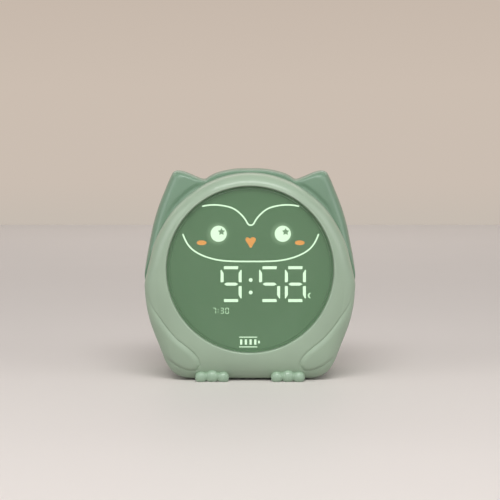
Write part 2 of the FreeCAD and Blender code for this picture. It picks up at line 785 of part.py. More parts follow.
def beak_outline():
    """A rounded triangle, point down, with a small dip in its top edge."""
    half = BEAK_W / 2
    height = BEAK_TOP - BEAK_TIP
    points = [(0, BEAK_TOP - 0.08 * height), (0.62 * half, BEAK_TOP), (half, BEAK_TOP - 0.14 * height),
              (0.62 * half, BEAK_TIP + 0.42 * height), (0, BEAK_TIP)]
    ring = points + [(-x, z) for x, z in reversed(points[1:-1])]
    curve = Part.BSplineCurve()
    curve.interpolate(Points=[V(x + PRINT_SHIFT, 0, LENS_Z + z) for x, z in ring], PeriodicFlag=True)
    return Part.Wire(curve.toShape())


def cheek_outlines():
    wires = []
    for side in (-1, 1):
        centre = V(PRINT_SHIFT + side * CHEEK_X, 0, LENS_Z + CHEEK_Z)
        tip = V(centre.x + CHEEK_W / 2, 0, centre.z)
        top = V(centre.x, 0, centre.z + CHEEK_H / 2)
        wires.append(Part.Wire(Part.Ellipse(tip, top, centre).toShape()))
    return wires


def segment_outlines(x, names):
    """The lit bars of one digit, lettered a to g from the top round to the middle."""
    half_w = DIGIT_W / 2
    half_h = DIGIT_H / 2
    nick = SEGMENT_NICK
    corner = SEGMENT_CORNER
    bar = half_w - SEGMENT_W - nick
    low = half_h - SEGMENT_W
    flat = [(-bar, low), (bar - nick, low), (bar, half_h - nick), (bar - nick, half_h),
            (-bar + nick, half_h), (-bar, half_h - nick)]
    mid = SEGMENT_W / 2
    taper = bar - SEGMENT_TAPER
    middle = [(-bar, 0), (-taper, -mid), (taper, -mid), (bar, 0), (taper, mid), (-taper, mid)]
    top = low - nick
    inner = half_w - SEGMENT_W
    upright = [(half_w, SEGMENT_GAP), (half_w, top - corner), (half_w - corner, top),
               (inner, top - SEGMENT_SLANT), (inner, SEGMENT_GAP + corner), (inner + corner, SEGMENT_GAP)]
    shapes = {
        "a": flat,
        "b": upright,
        "c": [(px, -pz) for px, pz in upright],
        "d": [(px, -pz) for px, pz in flat],
        "e": [(-px, -pz) for px, pz in upright],
        "f": [(-px, pz) for px, pz in upright],
        "g": middle,
    }
    return [polygon(shapes[name], x + PRINT_SHIFT, LENS_Z + DIGIT_Z) for name in names]


def digit_outlines():
    lit = {"9": "abcdfg", "5": "acdfg", "8": "abcdefg"}
    wires = []
    for digit, x in DIGIT_XS.items():
        wires += segment_outlines(x, lit[digit])
    for side in (-1, 1):
        wires.append(circle_wire(PRINT_SHIFT, LENS_Z + DIGIT_Z - COLON_DROP + side * COLON_Z, COLON_R))
    return wires


def rectangle(x, z, width, height):
    return polygon([(-width / 2, -height / 2), (width / 2, -height / 2), (width / 2, height / 2),
                    (-width / 2, height / 2)], x, z)


def battery_icon_outlines():
    z = LENS_Z + BATTERY_ICON_Z
    wires = [rectangle((i - 1.5) * BAR_PITCH + BATTERY_SHIFT, z, BAR_W, BAR_H) for i in range(4)]
    for side in (-1, 1):
        rise = BAR_H / 2 + BATTERY_LINE_GAP
        wires.append(rectangle(BATTERY_SHIFT, z + side * rise, BATTERY_ICON_W, BATTERY_LINE))
    wires.append(rectangle(BATTERY_ICON_W / 2, z, BATTERY_TIP_W, BATTERY_TIP_H))
    return wires


def small_segments(x, names):
    """A thin small digit of the alarm time."""
    w = SMALL_DIGIT_W / 2
    h = SMALL_DIGIT_H / 2
    s = SMALL_STROKE
    places = {
        "a": (0, h - s / 2, 2 * w - 2 * s, s),
        "b": (w - s / 2, h / 2, s, h - 1.2 * s),
        "c": (w - s / 2, -h / 2, s, h - 1.2 * s),
        "d": (0, -h + s / 2, 2 * w - 2 * s, s),
        "e": (-w + s / 2, -h / 2, s, h - 1.2 * s),
        "f": (-w + s / 2, h / 2, s, h - 1.2 * s),
        "g": (0, 0, 2 * w - 2.4 * s, s),
    }
    wires = []
    for name in names:
        px, pz, width, height = places[name]
        wires.append(rectangle(x + px, LENS_Z + SMALL_TIME_Z + pz, width, height))
    return wires


def status_outlines():
    """A small alarm time, 7:30, and a crescent moon for the night light."""
    wires = small_segments(SMALL_TIME_X - 1.6 * SMALL_STEP, "abc")
    wires += small_segments(SMALL_TIME_X - 0.1 * SMALL_STEP, "abcdg")
    wires += small_segments(SMALL_TIME_X + 0.9 * SMALL_STEP, "abcdef")
    for side in (-1, 1):
        z = LENS_Z + SMALL_TIME_Z + side * SMALL_COLON_Z
        wires.append(rectangle(SMALL_TIME_X - 0.85 * SMALL_STEP, z, SMALL_COLON, SMALL_COLON))
    top = V(MOON_X + 0.35 * MOON_R, 0, LENS_Z + MOON_Z + MOON_R)
    low = V(MOON_X + 0.35 * MOON_R, 0, LENS_Z + MOON_Z - MOON_R)
    outer = Part.Arc(top, V(MOON_X - MOON_R, 0, LENS_Z + MOON_Z), low).toShape()
    inner = Part.Arc(low, V(MOON_X - 0.35 * MOON_R, 0, LENS_Z + MOON_Z), top).toShape()
    wires.append(Part.Wire([outer, inner]))
    return wires


def diffusers(wires):
    """Clear plugs that fill windows of the film and cells of the light box."""
    return [prism(wire, LENS_BACK, LENS_BACK + DIFFUSER_T) for wire in wires]


def all_windows():
    return (face_line_outlines() + eye_outlines() + [beak_outline()] + cheek_outlines() + digit_outlines()
            + battery_icon_outlines() + status_outlines())


def make_face_mask():
    film = rod(0, LENS_Z, LEDGE_R - STACK_GAP, LENS_BACK, FILM_BACK)
    cuts = Part.makeCompound([prism(wire, LENS_BACK - 1, FILM_BACK + 1) for wire in all_windows()])
    stars = Part.makeCompound([prism(wire, LENS_BACK, FILM_BACK) for wire in star_outlines()])
    return group([film.cut(cuts), stars])


def make_eyes():
    stars = Part.makeCompound([prism(wire, LENS_BACK - 1, FILM_BACK) for wire in star_outlines()])
    return group([plug.cut(stars) for plug in diffusers(eye_outlines())])


def make_light_box():
    plug = rod(0, LENS_Z, LEDGE_R - STACK_GAP, FILM_BACK, LEDGE_BACK)
    rim = rod(0, LENS_Z, LEDGE_R + LIGHT_BOX_RIM, LEDGE_BACK, BOX_BACK)
    parts = [plug, rim]
    for x, z in box_ear_places():
        corner = V(LEDGE_R, FRONT_Y + LEDGE_BACK, -BOX_EAR_R)
        arm = Part.makeBox(BOX_EAR_REACH - LEDGE_R, LIGHT_BOX_T, 2 * BOX_EAR_R, corner)
        arm.rotate(V(0, 0, 0), V(0, -1, 0), math.degrees(math.atan2(z - LENS_Z, x)))
        arm.translate(V(0, 0, LENS_Z))
        parts += [arm, rod(x, z, BOX_EAR_R, LEDGE_BACK, BOX_BACK)]
    solid = fuse_all(parts)
    for x, z in column_places():
        solid = solid.cut(rod(x, z, COLUMN_R + STACK_GAP, 0, DISPLAY_BACK))
    holes = [rod(x, z, SMALL_SCREW_R + HOLE_PLAY, 0, DISPLAY_BACK) for x, z in box_ear_places()]
    cells = [prism(wire, FILM_BACK - 1, BOX_BACK + 1) for wire in all_windows()]
    return solid.cut(Part.makeCompound(holes + cells))


def make_display_board():
    return rod(0, LENS_Z, BOARD_R, BOX_BACK, DISPLAY_BACK)


def window_centres():
    centres = []
    for wire in eye_outlines() + [beak_outline()] + cheek_outlines() + digit_outlines():
        middle = wire.BoundBox.Center
        centres.append((middle.x, middle.z))
    return centres


def make_display_leds():
    size = DISPLAY_LED_W
    return group([chip(x, z, size, size, BOX_BACK - DISPLAY_LED_T, BOX_BACK) for x, z in window_centres()])


def make_display_chips():
    chips = [chip(x, LENS_Z + z, width, height, DISPLAY_BACK, DISPLAY_BACK + thick)
             for x, z, width, height, thick in DISPLAY_CHIPS]
    for i in range(RESISTOR_COUNT):
        x = (i - (RESISTOR_COUNT - 1) / 2) * RESISTOR_PITCH
        chips.append(chip(x, LENS_Z - RESISTOR_DROP, RESISTOR_W, RESISTOR_H,
                          DISPLAY_BACK, DISPLAY_BACK + RESISTOR_T))
    return group(chips)


def make_main_board():
    board = box(-MAIN_HALF_W, MAIN_HALF_W, MAIN_DEPTH, MAIN_REAR, MAIN_BOTTOM, MAIN_TOP)
    for x, z in main_post_places():
        board = board.cut(rod(x, z, SMALL_SCREW_R + HOLE_PLAY, MAIN_DEPTH - 1, MAIN_REAR + 1))
    return board


def make_control_chips():
    return group([chip(x, MAIN_BOTTOM + z, width, height, MAIN_DEPTH - thick, MAIN_DEPTH)
                  for x, z, width, height, thick in CONTROL_CHIPS])


def make_quartz_crystal():
    wire = slot_wire(0, MAIN_TOP - CRYSTAL_DROP, CRYSTAL_W, CRYSTAL_H)
    return prism(wire, MAIN_DEPTH - CRYSTAL_T, MAIN_DEPTH)


def make_tact_switches():
    switches = []
    for x in BUTTON_XS:
        half = TACT_W / 2
        body = box(x - half, x + half, MAIN_REAR, MAIN_REAR + TACT_T, BUTTON_Z - half, BUTTON_Z + half)
        well = rod(x, BUTTON_Z, TACT_STEM_R + TACT_STEM_GAP, MAIN_REAR + TACT_FLOOR, MAIN_REAR + TACT_T + 1)
        switches.append(body.cut(well))
    return group(switches)


def make_button(x):
    flange = rod(x, BUTTON_Z, BUTTON_R + FLANGE_W, FLANGE_FRONT, BACK_INNER - RUNNING_GAP)
    cap = rod(x, BUTTON_Z, BUTTON_R, BACK_INNER - RUNNING_GAP, DEPTH)
    rim = [edge for edge in cap.Edges if abs(edge.CenterOfMass.y - (FRONT_Y + DEPTH)) < 1e-6 and edge.Closed]
    return cap.makeFillet(BUTTON_ROUND, rim).fuse(flange).removeSplitter()


def make_button_plunger(x):
    return rod(x, BUTTON_Z, TACT_STEM_R, MAIN_REAR + TACT_T - TACT_STEM_SUNK, FLANGE_FRONT)


def make_usb_socket():
    outer = slot_wire(USB_X, CONTROL_Z, USB_IN_W + 2 * USB_SHELL_T, USB_IN_H + 2 * USB_SHELL_T)
    inner = slot_wire(USB_X, CONTROL_Z, USB_IN_W, USB_IN_H)
    return prism(outer, MAIN_REAR, USB_BACK).cut(prism(inner, USB_BACK - USB_DEPTH, USB_BACK + 1))


def make_usb_tongue():
    bottom = USB_BACK - USB_DEPTH
    return chip(USB_X, CONTROL_Z, USB_TONGUE_W, USB_TONGUE_H, bottom, bottom + USB_TONGUE_L)


def make_slide_switch_body():
    back = MAIN_REAR + SWITCH_T
    body = chip(SWITCH_X, CONTROL_Z, SWITCH_W, SWITCH_H, MAIN_REAR, back)
    well_w = KNOB_STEM + KNOB_TRAVEL + 2 * HOLE_PLAY
    well_h = KNOB_STEM + 2 * HOLE_PLAY
    return body.cut(chip(SWITCH_X, CONTROL_Z, well_w, well_h, back - KNOB_STEM_SUNK - HOLE_PLAY, back + 1))


def make_power_slider():
    """The knob at the off end of its slot."""
    x = SWITCH_X - KNOB_TRAVEL / 2
    back = MAIN_REAR + SWITCH_T
    cap = chip(x, CONTROL_Z, KNOB_W, KNOB_H, back + RUNNING_GAP, SHELL_BACK + KNOB_PROUD)
    return cap.fuse(chip(x, CONTROL_Z, KNOB_STEM, KNOB_STEM, back - KNOB_STEM_SUNK, back + RUNNING_GAP))


def speaker_front():
    return BACK_INNER - GAUZE_T - SPEAKER_RIM_T


def revolve_back(profile, z):
    """A profile of radius and depth corners, turned round an axis that runs back."""
    corners = [V(r, FRONT_Y + d, z) for r, d in profile]
    face = Part.Face(Part.makePolygon(corners + corners[:1]))
    return face.revolve(V(0, 0, z), V(0, 1, 0), 360)


def make_speaker_frame():
    back = BACK_INNER - GAUZE_T
    front = speaker_front()
    deep = front - SPEAKER_BASKET_T
    mouth = SPEAKER_R - SPEAKER_RIM_W
    floor = deep + BASKET_FLOOR_T
    outer = [(SPEAKER_R, back), (SPEAKER_R, front), (mouth + BASKET_WALL, front),
             (MAGNET_R + BASKET_FLOOR_T, deep), (BASKET_HOLE_R, deep)]
    inner = [(BASKET_HOLE_R, floor), (MAGNET_R, floor), (mouth, front + BASKET_FLOOR_T), (mouth, back)]
    return revolve_back(outer + inner, SPEAKER_Z)


def make_speaker_cone():
    back = BACK_INNER - GAUZE_T - HOLE_PLAY
    mouth = SPEAKER_R - SPEAKER_RIM_W - HOLE_PLAY
    roll = mouth - CONE_ROLL
    high = speaker_front() + CONE_RISE
    deep = speaker_front() - CONE_DROP
    under = [(mouth, back), (mouth, back - CONE_T), (roll, high - CONE_T), (CONE_CENTRE_R, deep), (0.0, deep)]
    over = [(0.0, deep + CONE_T), (CONE_CENTRE_R, deep + CONE_T), (roll, high)]
    return revolve_back(under + over, SPEAKER_Z)


def make_speaker_magnet():
    deep = speaker_front() - SPEAKER_BASKET_T
    return rod(0, SPEAKER_Z, MAGNET_R, deep - MAGNET_T, deep)


def make_speaker_gauze():
    return rod(0, SPEAKER_Z, SPEAKER_R - SPEAKER_RIM_W / 2, BACK_INNER - GAUZE_T, BACK_INNER)


def bent_path(points, bend):
    """Straight runs joined by tangent arcs, through points given as X, depth and Z."""
    spots = [V(x, FRONT_Y + d, z) for x, d, z in points]
    edges = []
    last = spots[0]
    for before, here, after in zip(spots, spots[1:], spots[2:]):
        into = (here - before).normalize()
        out = (after - here).normalize()
        turn = into.getAngle(out)
        back = bend * math.tan(turn / 2)
        start = here - into * back
        end = here + out * back
        centre_way = (out - into).normalize()
        middle = here + centre_way * (bend / math.cos(turn / 2) - bend)
        edges.append(Part.LineSegment(last, start).toShape())
        edges.append(Part.Arc(start, middle, end).toShape())
        last = end
    edges.append(Part.LineSegment(last, spots[-1]).toShape())
    return Part.Wire(edges)


def wire_lead(points):
    """A round wire along a bent path."""
    path = bent_path(points, LEAD_BEND)
    start = path.Edges[0].Vertexes[0].Point
    run = path.Edges[0].tangentAt(path.Edges[0].FirstParameter)
    ring = Part.Wire(Part.makeCircle(LEAD_R, start, run))
    return path.makePipeShell([ring], True, False)


def make_battery_cell():
    base = FLOOR_Z + TAPE_SEAT + BATTERY_TAPE_T
    return box(-BATTERY_W / 2, BATTERY_W / 2, BATTERY_FRONT, BATTERY_FRONT + BATTERY_L, base, base + BATTERY_H)


def make_battery_tape():
    half = BATTERY_W / 2 - BATTERY_TAPE_INSET
    low = FLOOR_Z + TAPE_SEAT
    return box(-half, half, BATTERY_FRONT + BATTERY_TAPE_INSET, BATTERY_FRONT + BATTERY_L - BATTERY_TAPE_INSET,
               low, low + BATTERY_TAPE_T)


def plug_z():
    return MAIN_BOTTOM + BATTERY_PLUG_RISE


def lead_xs():
    return [LEAD_X - LEAD_PITCH / 2, LEAD_X + LEAD_PITCH / 2]


def make_battery_leads():
    back = BATTERY_FRONT + BATTERY_L
    z = FLOOR_Z + BATTERY_TAPE_T + BATTERY_H / 2
    plug_front = MAIN_DEPTH - BATTERY_PLUG_T
    between = (back + plug_front) / 2
    leads = []
    for x in lead_xs():
        leads.append(wire_lead([(x, back, z), (x, between, z), (x, between, plug_z()),
                                (x, plug_front, plug_z())]))
    return group(leads)


def make_battery_plug():
    width = LEAD_PITCH + 2 * BATTERY_PLUG_SIDE
    return chip(LEAD_X, plug_z(), width, BATTERY_PLUG_H, MAIN_DEPTH - BATTERY_PLUG_T, MAIN_DEPTH)


def make_speaker_leads():
    """Two leads from the edge of the speaker's basket to the main board."""
    mouth = SPEAKER_R - SPEAKER_RIM_W + BASKET_WALL
    slope = (mouth - SPEAKER_LEAD_RISE) / (mouth - MAGNET_R - BASKET_FLOOR_T)
    start = speaker_front() - SPEAKER_BASKET_T * slope - LEAD_R
    low = SPEAKER_Z + SPEAKER_LEAD_RISE
    high = MAIN_BOTTOM + SPEAKER_LEAD_TOP
    out = MAIN_DEPTH - SPEAKER_LEAD_ROOM
    leads = []
    for x in (-LEAD_PITCH / 2, LEAD_PITCH / 2):
        leads.append(wire_lead([(x, start, low), (x, out, low), (x, out, high), (x, MAIN_DEPTH, high)]))
    return group(leads)


def make_top_board():
    board = box(-TOP_HALF_W, TOP_HALF_W, TOP_FRONT, TOP_BACK, TOP_BOARD_Z, TOP_BOARD_TOP)
    for x in (-TOP_POST_X, TOP_POST_X):
        board = board.cut(post(x, TOP_MIDDLE, SMALL_SCREW_R + HOLE_PLAY, TOP_BOARD_Z - 1, TOP_BOARD_TOP + 1))
    return board


def make_night_light_leds():
    width, length, height = NIGHT_LED
    leds = []
    for x in (-NIGHT_LED_X, NIGHT_LED_X):
        for share in NIGHT_LED_SHARES:
            depth = TOP_FRONT + (TOP_BACK - TOP_FRONT) * share
            leds.append(box(x - width / 2, x + width / 2, depth - length / 2, depth + length / 2,
                            TOP_BOARD_TOP, TOP_BOARD_TOP + height))
    return group(leds)


def key_flange_z():
    """The underside of the snooze key's flange, below the dome's inner face at the key's ends."""
    reach = KEY_HALF_W + KEY_FLANGE_W
    radius = dome_radius(90)
    edge = LENS_Z + math.sqrt(radius * radius - reach * reach) - WALL
    return edge - RUNNING_GAP - KEY_HEADROOM - KEY_FLANGE_T


def switch_top():
    """The height of the snooze plunger's top, under the key's boss."""
    return TOP_BOARD_TOP + TACT_T + KEY_TRAVEL + KEY_SPARE


def make_snooze_switch():
    half = TACT_W / 2
    base = TOP_BOARD_TOP
    body = box(-half, half, KEY_MIDDLE - half, KEY_MIDDLE + half, base, base + TACT_T)
    return body.cut(post(0, KEY_MIDDLE, TACT_STEM_R + TACT_STEM_GAP, base + TACT_FLOOR, base + TACT_T + 1))


def make_snooze_plunger():
    return post(0, KEY_MIDDLE, TACT_STEM_R, TOP_BOARD_TOP + TACT_T - TACT_STEM_SUNK, switch_top())


def make_snooze_button(outer):
    low = key_flange_z()
    body = key_block(low, LENS_Z + RING_R * 2).common(outer)
    flange = key_block(low, low + KEY_FLANGE_T, KEY_FLANGE_W)
    boss = post(0, KEY_MIDDLE, KEY_BOSS_R, switch_top(), low + KEY_BOSS_BITE)
    return fuse_all([body, flange, boss])


def make_top_board_leads():
    leads = []
    near = TOP_BACK - TOP_LEAD_INSET
    low = MAIN_TOP - TOP_LEAD_DROP
    for x in (TOP_LEAD_X - LEAD_PITCH / 2, TOP_LEAD_X + LEAD_PITCH / 2):
        leads.append(wire_lead([(x, near, TOP_BOARD_Z), (x, near, low), (x, MAIN_DEPTH, low)]))
    return group(leads)


def ribbon_depths():
    return DISPLAY_BACK + PLUG_T / 2, MAIN_DEPTH - PLUG_T / 2


def make_ribbon_cable():
    near, far = ribbon_depths()
    spots = [(0, near, PLUG_TOP), (0, near, RIBBON_Z), (0, far, RIBBON_Z), (0, far, PLUG_TOP)]
    path = bent_path(spots, RIBBON_BEND)
    half = RIBBON_W / 2
    low = FRONT_Y + near - RIBBON_T / 2
    corners = [V(-half, low, PLUG_TOP), V(half, low, PLUG_TOP), V(half, low + RIBBON_T, PLUG_TOP),
               V(-half, low + RIBBON_T, PLUG_TOP)]
    return path.makePipeShell([Part.makePolygon(corners + corners[:1])], True, False)


def make_ribbon_connectors():
    half = RIBBON_W / 2 + PLUG_SIDE
    return group([box(-half, half, DISPLAY_BACK, DISPLAY_BACK + PLUG_T, PLUG_TOP - PLUG_H, PLUG_TOP),
                  box(-half, half, MAIN_DEPTH - PLUG_T, MAIN_DEPTH, PLUG_TOP - PLUG_H, PLUG_TOP)])


def toe(x, size):
    """One toe: an egg that stands on the table with a small flat."""
    half_w, half_d, half_h = size
    stretch = FreeCAD.Matrix()
    stretch.scale(half_w, half_d, half_h)
    egg = Part.makeSphere(1.0).transformGeometry(stretch)
    egg.translate(V(x, FRONT_Y + half_d, half_h - TOE_FLAT))
    return egg


def make_foot(side, outer):
    xs = [-side * x for x in TOE_XS]
    toes = [toe(xs[0], SIDE_TOE), toe(xs[1], MIDDLE_TOE), toe(xs[2], SIDE_TOE)]
    low = min(xs) - SOLE_INSET
    high = max(xs) + SOLE_INSET
    sole = box(low, high, MIDDLE_TOE[1], SOLE_BACK, 0, BODY_LIFT)
    instep = box(low, high, MIDDLE_TOE[1], EDGE_DEPTH, 0, INSTEP_H)
    foot = fuse_all(toes + [sole, instep])
    under = box(low - 20, high + 20, -5, DEPTH, -5, 0)
    return foot.cut(under).cut(outer)


def make_rear_foot_pads():
    return group([post(side * PAD_X, PAD_DEPTH, PAD_R, 0, BODY_LIFT - PAD_SEAT) for side in (-1, 1)])


def main():
    os.makedirs("parts", exist_ok=True)
    front_outer = front_skin()
    rear_outer = rear_skin()
    nodes = {
        "front_shell": make_front_shell(front_outer),
        "rear_shell": make_rear_shell(rear_outer),
        "display_lens": make_display_lens(),
        "lens_tape": make_lens_tape(),
        "face_mask": make_face_mask(),
        "face_lines": group(diffusers(face_line_outlines())),
        "eyes": make_eyes(),
        "beak": group(diffusers([beak_outline()])),
        "cheeks": group(diffusers(cheek_outlines())),
        "digit_segments": group(diffusers(digit_outlines())),
        "battery_icon": group(diffusers(battery_icon_outlines())),
        "status_icons": group(diffusers(status_outlines())),
        "light_box": make_light_box(),
        "display_board": make_display_board(),
        "display_leds": make_display_leds(),
        "display_chips": make_display_chips(),
        "display_screws": make_display_screws(),
        "case_screws": make_case_screws(),
        "left_foot": make_foot(-1, front_outer),
        "right_foot": make_foot(1, front_outer),
        "rear_foot_pads": make_rear_foot_pads(),
        "main_board": make_main_board(),
        "board_screws": make_board_screws(),
        "control_chips": make_control_chips(),
        "quartz_crystal": make_quartz_crystal(),
        "tact_switches": make_tact_switches(),
        "usb_socket": make_usb_socket(),
        "usb_tongue": make_usb_tongue(),
        "slide_switch_body": make_slide_switch_body(),
        "power_slider": make_power_slider(),
        "speaker_frame": make_speaker_frame(),
        "speaker_cone": make_speaker_cone(),
        "speaker_magnet": make_speaker_magnet(),
        "speaker_gauze": make_speaker_gauze(),
        "speaker_leads": make_speaker_leads(),
        "battery_cell": make_battery_cell(),
        "battery_tape": make_battery_tape(),
        "battery_leads": make_battery_leads(),
        "battery_plug": make_battery_plug(),
        "top_board": make_top_board(),
        "top_board_screws": make_top_board_screws(),
        "top_board_leads": make_top_board_leads(),
        "night_light_leds": make_night_light_leds(),
        "snooze_switch": make_snooze_switch(),
        "snooze_plunger": make_snooze_plunger(),
        "snooze_button": make_snooze_button(rear_outer),
        "ribbon_cable": make_ribbon_cable(),
        "ribbon_connectors": make_ribbon_connectors(),
    }
    for name, x in zip(BUTTON_NAMES, BUTTON_XS):
        nodes[name + "_button"] = make_button(x)
        nodes[name + "_plunger"] = make_button_plunger(x)
    for name, shape in nodes.items():
        shape.exportStep(os.path.join("parts", name + ".step"))


main()
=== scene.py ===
import json
import math

import bmesh
import bpy
import numpy as np
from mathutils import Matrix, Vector


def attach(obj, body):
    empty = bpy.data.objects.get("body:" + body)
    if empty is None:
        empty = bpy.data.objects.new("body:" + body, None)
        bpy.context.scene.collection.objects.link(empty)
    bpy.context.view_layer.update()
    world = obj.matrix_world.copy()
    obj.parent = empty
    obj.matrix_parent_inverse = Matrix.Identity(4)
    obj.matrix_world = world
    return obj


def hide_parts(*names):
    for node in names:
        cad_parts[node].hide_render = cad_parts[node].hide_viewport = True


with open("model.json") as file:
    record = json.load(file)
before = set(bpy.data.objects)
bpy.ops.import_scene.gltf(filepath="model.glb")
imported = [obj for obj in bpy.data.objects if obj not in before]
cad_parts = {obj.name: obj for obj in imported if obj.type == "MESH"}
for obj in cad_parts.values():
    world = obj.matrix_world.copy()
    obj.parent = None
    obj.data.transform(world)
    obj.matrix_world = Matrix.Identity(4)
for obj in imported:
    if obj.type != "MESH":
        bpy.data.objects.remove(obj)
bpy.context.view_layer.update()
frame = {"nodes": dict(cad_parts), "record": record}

MM = 0.001
TINY = 1e-12
WELD_M = 2e-7
SLIVER_M = 1e-8

# Case sizes in millimetres, as in the part's source. Depth runs back from the foremost plane.
DEPTH = 74.0
BUTTON_PROUD = 1.0
PARTING_DEPTH = 18.0
EDGE_DEPTH = 9.0
WALL = 2.2
BODY_LIFT = 0.6
RUNNING_GAP = 0.3

# Outline of the front shell: angles in degrees round the lens centre and reaches from it
LENS_Z = 64.0
RING_R = 54.6
BELLY_FLARE = ((-90, 29.0), (-75, 28.0), (-60, 23.7), (-48, 17.8), (-38, 12.1), (-26, 8.8), (-14, 6.3),
               (-5, 5.1), (4, 3.2), (14, 2.2), (26, 1.1), (40, 0.5), (58, 0.0), (90, 0.0))
BASE_CORNER = 10.0
WALL_DRAFT = 0.5

# Rear shell, its ears and its rounded back
DOME_STEP = ((-90, 0.0), (-14, 0.0), (-3, 1.7), (8, 2.6), (20, 2.2), (40, 2.4), (60, 1.8), (68, 2.7),
             (76, 2.5), (84, 2.1), (90, 1.8))
EAR_SIDE_R = ((5, 58.2), (15, 59.8), (28, 62.0), (40.4, 65.5), (49.5, 69.7), (58, 74.2))
EAR_EDGE_ANGLE = 23.6
EAR_EDGE_REACH = 35.2
EAR_LEAST_COSINE = 0.05
EAR_TIP_ROUND = 10.0
EAR_VALLEY_ROUND = 1.9
EAR_RIDGE_DEPTH = 26.0
EAR_END_DEPTH = 58.0
FRONT_ROUND = ((-90, 0.0), (-8, 0.0), (6, 2.0), (20, 5.0), (40, 5.5), (54, 5.0), (58, 4.2), (62, 1.8),
               (90, 1.5))
BACK_CENTRE_Z = 60.0
BACK_SCALE = 0.74
BACK_START_TOP = 34.0
BACK_START_BASE = 46.0

# Lens, film and ledge
LENS_OPENING_R = 47.3
LENS_GAP = 0.3
LENS_T = 2.0
LENS_SINK = 1.0
FILM_T = 0.3
LEDGE_W = 1.3
LEDGE_T = 1.5
EYE_X = 18.1
EYE_Z = 20.4
EYE_R = 4.55

# Wings, in X and Z from the lens centre
WING_RISE = 0.9
WING_FADE = ((-90, 1.0), (-10, 1.0), (-2, 0.0), (90, 0.0))
WING_UPPER = ((-64.0, 4.0), (-60.2, -6.5), (-58.6, -12.6), (-56.1, -20.6), (-49.3, -31.3),
              (-42.2, -39.6), (-34.3, -46.0), (-30.0, -50.8), (-29.0, -54.4))
WING_LOWER = ((-29.0, -54.4), (-30.9, -57.3), (-34.6, -57.7), (-39.3, -56.1), (-45.8, -52.2),
              (-51.5, -47.1), (-66.0, -34.0))

# Sleeves of the case screws, by reach and angle from the lens centre
COLUMNS = ((48.4, 42.0), (52.0, -47.0))
HEAD_HOLE_R = 2.9
SLEEVE_R = 4.8
SLEEVE_START = 30.2
SLEEVE_END = 60.0
SEAT_DEPTH = 40.0

# Buttons, socket, switch and grille on the back
BUTTON_PITCH = 12.0
BUTTON_Z = 86.0
BUTTON_R = 4.2
BUTTON_ROUND = 0.5
FLANGE_W = 1.1
FLANGE_T = 0.9
USB_X = -20.0
CONTROL_Z = 68.0
USB_IN_W = 8.34
USB_IN_H = 2.56
USB_SHELL_T = 0.3
SWITCH_X = 20.0
KNOB_W = 3.6
KNOB_H = 3.0
KNOB_PROUD = 0.7
KNOB_TRAVEL = 2.5
KNOB_STEM = 1.4
KNOB_FRONT = 69.5
KNOB_STEM_FRONT = 67.2
SPEAKER_Z = 36.0
GRILLE_PITCH = 3.6
GRILLE_RINGS = 3
GRILLE_HOLE_R = 0.9

# Snooze key
KEY_HALF_W = 14.0
KEY_FRONT = 38.0
KEY_BACK = 52.0
KEY_CORNER = 5.0
KEY_GAP = 0.35

# From here on the sizes are those of the looks alone. INSIDE keeps them within the solids' outline.
INSIDE = 0.9996

# Front shell, in loops from the ledge out over the lip, face, side and seam and back along the inside
OPENING_DEPTHS = (2.0, 1.2)
LIP_ROUND = 0.8
LIP_SHARES = (0.0, 0.03, 0.1, 0.22, 0.4, 0.65)
FACE_STEPS = 84
SIDE_ROWS = 17
SEAM_CHAMFER = 0.35
SEAM_ROWS = ((0.12, 0.12), (0.45, 0.0))
INNER_INSET = WALL + 0.4
INNER_FRONT_DEPTHS = (PARTING_DEPTH, 12.0, EDGE_DEPTH)
INNER_FACE_ANGLE = 78.0
INNER_FACE_ROWS = 5
FRONT_STRETCHES = ((-90, -66, 0.8), (-66, -5, 0.22), (-5, 185, 0.7), (185, 246, 0.22), (246, 270, 0.8))

# Surface of the wings: the shoulder inside their edge and the fine groove outside it
WING_FRONT_RISE = 0.65
WING_SHOULDER = 2.3
WING_SHOULDER_OUT = 0.1
WING_GROOVE_OUT = 0.45
WING_GROOVE_W = 0.42
WING_GROOVE_DEEP = 0.36
SIDE_BLEND = 6.0
WING_SIDE_FADE = ((-90, 0.0), (-47, 0.0), (-35, 1.0), (90, 1.0))
CURVE_STEPS = 14

# Rear shell: the rim by insets from the front outline and depths behind the parting plane, the band with
# the valley between ring and ears, then the outer and inner skins
RIM_ROWS = ((WALL + 0.1, WALL), (WALL + 0.1, 0.1), (0.75, 0.1), (0.5, 0.35))
BAND_INSET = 0.2
BAND_FALL = 0.12
BAND_ROWS = 15
VALLEY_DEEP = 0.85
VALLEY_PLACE = 1.2
VALLEY_W = 1.5
VALLEY_BAND = 1.2
VALLEY_GROWTH = 4.0
NEAR_ROWS = 20
FAR_ROWS = 64
TOP_ANGLES = (60, 120, 241)
BACK_PULLS = (0.985, 0.9, 0.6, 0.25, 0.02)
INNER_EAR = 0.75
INNER_BACK_PULLS = (0.02, 0.5, 0.95)
INNER_DEPTHS = (69.5, 66.0, 60.0, 52.0, 42.0, 32.0, 26.0, 23.0)
REAR_STRETCHES = ((-90, 36, 0.8), (36, 68, 0.25), (68, 112, 0.6), (112, 144, 0.25), (144, 270, 0.8))

# Openings of the rear shell, with a flare at the skin, and how many sides the round ones have
CUT_FRONT = 69.0
CUT_PAST = 4.0
BUTTON_HOLE_SIDES = 64
GRILLE_SIDES = 20
SCREW_SIDES = 40
BUTTON_FLARE = 0.35
GRILLE_FLARE = 0.25
USB_FLARE = 0.4
SLOT_FLARE = 0.3
SLOT_CORNER = 0.4
ROUND_END_SPARE = 0.01
KEY_CUT_ZS = (111.0, 126.0)

